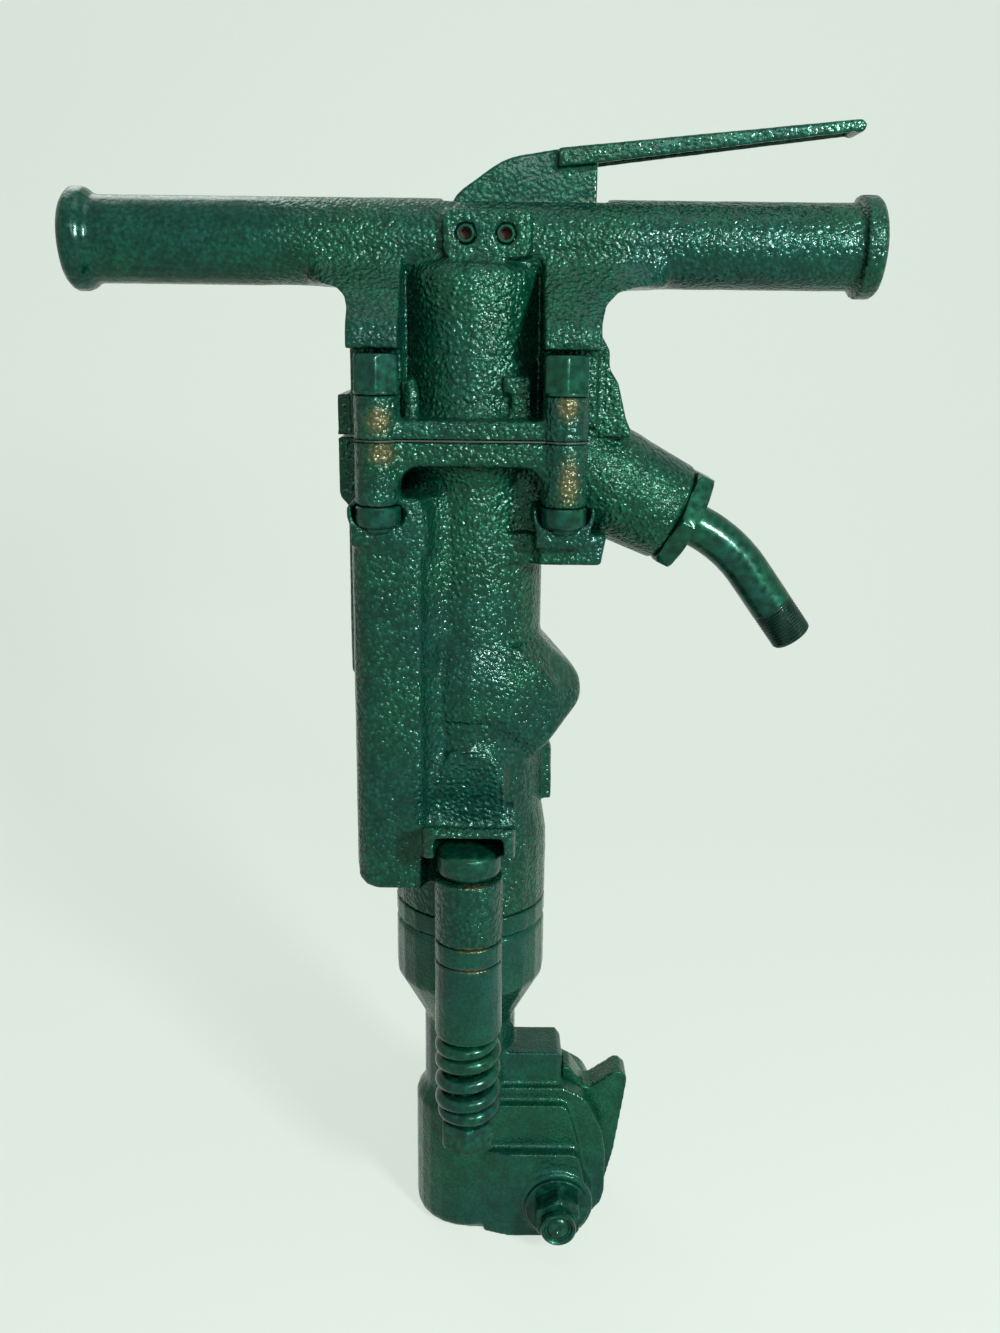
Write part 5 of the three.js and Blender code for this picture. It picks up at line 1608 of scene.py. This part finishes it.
@dataclass
class LeverPins:
    """The rolled pins of the lever, plugged with dirt so that no light shows through."""

    radius: float = 5.3 * MM
    hole: float = 3.4 * MM
    depth: float = 7 * MM

    def build(self) -> None:
        """Makes both pins."""
        paint = HammeredPaint("pin_enamel", pebble=3 * MM, pebble_depth=0.1 * MM, wave_depth=0.2 * MM,
                              roughness=0.4).material()
        rust = MachinedMetal("pin_rust", (0.060, 0.030, 0.018), 0.15, 0.75, 1.2 * MM, 0.15 * MM).material()
        for node in ("lever_pivot_pin", "lever_stop_pin"):
            self._pin(node, paint, rust)

    def _pin(self, node: str, paint: Material, rust: Material) -> None:
        """Makes one pin.

        Args:
            node: the pin's node.
            paint: the finish of its rims.
            rust: the finish inside its ends.
        """
        low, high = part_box(node)
        centre = (low + high) / 2
        half = (high.y - low.y) / 2
        place = Matrix.Translation(centre) @ Matrix.Rotation(math.pi / 2, 4, "X")
        form = Form()
        form.turned((
            (self.hole - 0.6 * MM, self.depth - half), (self.hole, 0.5 * MM - half),
            (self.hole + 0.3 * MM, -half), (self.radius - 0.6 * MM, -half), (self.radius, 0.7 * MM - half),
            (self.radius, half - 0.7 * MM), (self.radius - 0.6 * MM, half), (self.hole + 0.3 * MM, half),
            (self.hole, half - 0.5 * MM), (self.hole - 0.6 * MM, half - self.depth),
        ), place, 40)
        piece = dressed(form.finished(f"{node}_rolled"), paint, Body.CYLINDER, Slot.PIN, node, smooth=45)
        piece.data.materials.append(rust)
        for face in piece.data.polygons:
            reach = math.hypot(face.center.x - centre.x, face.center.z - centre.z)
            if reach < self.hole + 0.1 * MM:
                face.material_index = 1


@dataclass
class PlainNodes:
    """The nodes that keep their solid and only get a finish."""

    steel: tuple[str, ...] = ("tool_bush", "latch_plunger", "anvil", "piston", "valve_box",
                              "valve_disc", "valve_cap", "throttle_valve")
    bronze: tuple[str, ...] = ("throttle_seat", "inlet_strainer")

    def build(self) -> None:
        """Gives each node its finish."""
        steel = MachinedMetal("machined_steel", (0.5, 0.5, 0.52)).material()
        bronze = MachinedMetal("bronze", (0.5, 0.36, 0.17)).material()
        fibre = MachinedMetal("seam_fibre", (0.03, 0.045, 0.03), 0.0, 0.6).material()
        rubber = MachinedMetal("seal_rubber", (0.02, 0.02, 0.02), 0.0, 0.7).material()
        rows = ((self.steel, steel), (self.bronze, bronze),
                (("backhead_gasket",), fibre), (("inlet_seal",), rubber))
        for nodes, finish in rows:
            for node in nodes:
                self._finish(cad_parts[node], finish)

    def _finish(self, node: Piece, finish: Material) -> None:
        """Assigns a material to a node's own slots.

        Args:
            node: the node's object.
            finish: its material.
        """
        if not node.material_slots:
            node.data.materials.append(finish)
        for slot in node.material_slots:
            slot.material = finish
        LOG.info("%s keeps its solid", node.name)


@dataclass(frozen=True)
class Lamp:
    """One square soft lamp, with its place, its side in metres and its power in watts."""

    name: str
    place: Point
    side: float
    power: float
    aim: Point = (0.0, 0.0, 0.4)


@dataclass
class Studio:
    """Floor, wall, soft lamps and the camera."""

    eye: Point = mm(12.5, -773.84, 602.01)
    pitch: float = math.radians(15.07)
    yaw: float = math.radians(0.41)
    roll: float = math.radians(0.61)
    lens: float = 33.96
    floor_drop: float = 0.6 * MM
    wall_distance: float = 1.8
    bend: float = 1.1
    reach: float = 6.0
    steps: int = 12
    surround: Point = (0.70, 0.79, 0.71)
    daylight: float = 0.05
    lamps: tuple[Lamp, ...] = (
        Lamp("key_lamp", (0.95, -1.40, 1.05), 0.30, 44, (0.0, 0.0, 0.42)),
        Lamp("front_lamp", (0.15, -1.8, 1.2), 0.5, 7),
        Lamp("side_lamp", (-1.6, -0.8, 1.2), 1.2, 1.5),
        Lamp("top_lamp", (0.3, -0.3, 2.3), 1.0, 6),
        Lamp("back_lamp", (-0.6, 0.9, 1.7), 0.8, 5),
    )

    def build(self) -> None:
        """Makes the whole studio."""
        self._floor_and_wall()
        for lamp in self.lamps:
            self._hang(lamp)
        self._world()
        self._camera()

    def _floor_and_wall(self) -> None:
        """Makes a pale floor that sweeps up into a wall."""
        profile = [(-self.reach, 0.0)]
        for step in range(self.steps + 1):
            angle = math.pi / 2 * step / self.steps
            profile.append((self.wall_distance - self.bend + self.bend * math.sin(angle),
                            self.bend - self.bend * math.cos(angle)))
        profile.append((self.wall_distance, self.reach))
        mesh = bmesh.new()
        rows = [[mesh.verts.new((x, y, z - self.floor_drop)) for y, z in profile]
                for x in (-self.reach, self.reach)]
        for i in range(len(profile) - 1):
            mesh.faces.new((rows[0][i], rows[0][i + 1], rows[1][i + 1], rows[1][i]))
        data = bpy.data.meshes.new("studio_sweep")
        mesh.to_mesh(data)
        mesh.free()
        data.shade_smooth()
        sweep = placed("studio_sweep", data)
        sweep.data.materials.append(StudioFinish("studio_surface").material())

    def _hang(self, lamp: Lamp) -> None:
        """Hangs one lamp, which the camera doesn't see.

        Args:
            lamp: what is hung.
        """
        data = bpy.data.lights.new(lamp.name, "AREA")
        data.size = lamp.side
        data.energy = lamp.power
        hung = placed(lamp.name, data)
        hung.location = lamp.place
        hung.visible_camera = False
        hung.rotation_mode = "QUATERNION"
        hung.rotation_quaternion = (Vector(lamp.aim) - Vector(lamp.place)).to_track_quat("-Z", "Y")

    def _world(self) -> None:
        """Sets a surround that is pale to look at and dim as a light."""
        world = bpy.data.worlds.new("surround")
        bpy.context.scene.world = world
        world.use_nodes = True
        nodes = Nodes(world.node_tree)
        strength = nodes.node("MapRange", {"Value": nodes.seen(), "To Min": self.daylight})
        nodes.fill(nodes.tree.nodes["Background"],
                   {"Color": (*self.surround, 1.0), "Strength": strength.outputs["Result"]})

    def _camera(self) -> None:
        """Sets the camera where the photograph was taken from."""
        forward = Vector((math.sin(self.yaw) * math.cos(self.pitch),
                          math.cos(self.yaw) * math.cos(self.pitch), -math.sin(self.pitch)))
        level = Vector((math.cos(self.yaw), -math.sin(self.yaw), 0.0))
        upright = level.cross(forward)
        right = level * math.cos(self.roll) + upright * math.sin(self.roll)
        up = upright * math.cos(self.roll) - level * math.sin(self.roll)
        data = bpy.data.cameras.new("camera")
        data.lens = self.lens
        data.sensor_width = 36.0
        data.clip_start = 0.01
        camera = placed("camera", data)
        turn = Matrix((right, up, -forward)).transposed().to_4x4()
        camera.matrix_world = Matrix.Translation(Vector(self.eye)) @ turn
        bpy.context.scene.camera = camera


def main() -> None:
    """Builds the studio and every assembly.
    """
    logging.basicConfig(level=logging.INFO, format="%(message)s")
    bpy.context.scene.view_settings.view_transform = "Standard"
    Studio().build()
    Castings().build()
    FlangeBolts().build()
    SideRods().build()
    Springs().build()
    InletFitting().build()
    LatchFittings().build()
    LeverPins().build()
    PlainNodes().build()


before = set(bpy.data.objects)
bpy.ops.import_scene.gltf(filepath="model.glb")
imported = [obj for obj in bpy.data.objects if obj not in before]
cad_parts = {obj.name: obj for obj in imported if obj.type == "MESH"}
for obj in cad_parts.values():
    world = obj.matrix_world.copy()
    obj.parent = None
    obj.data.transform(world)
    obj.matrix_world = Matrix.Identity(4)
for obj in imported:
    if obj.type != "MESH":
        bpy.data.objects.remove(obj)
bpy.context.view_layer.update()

if __name__ == "__main__":
    main()
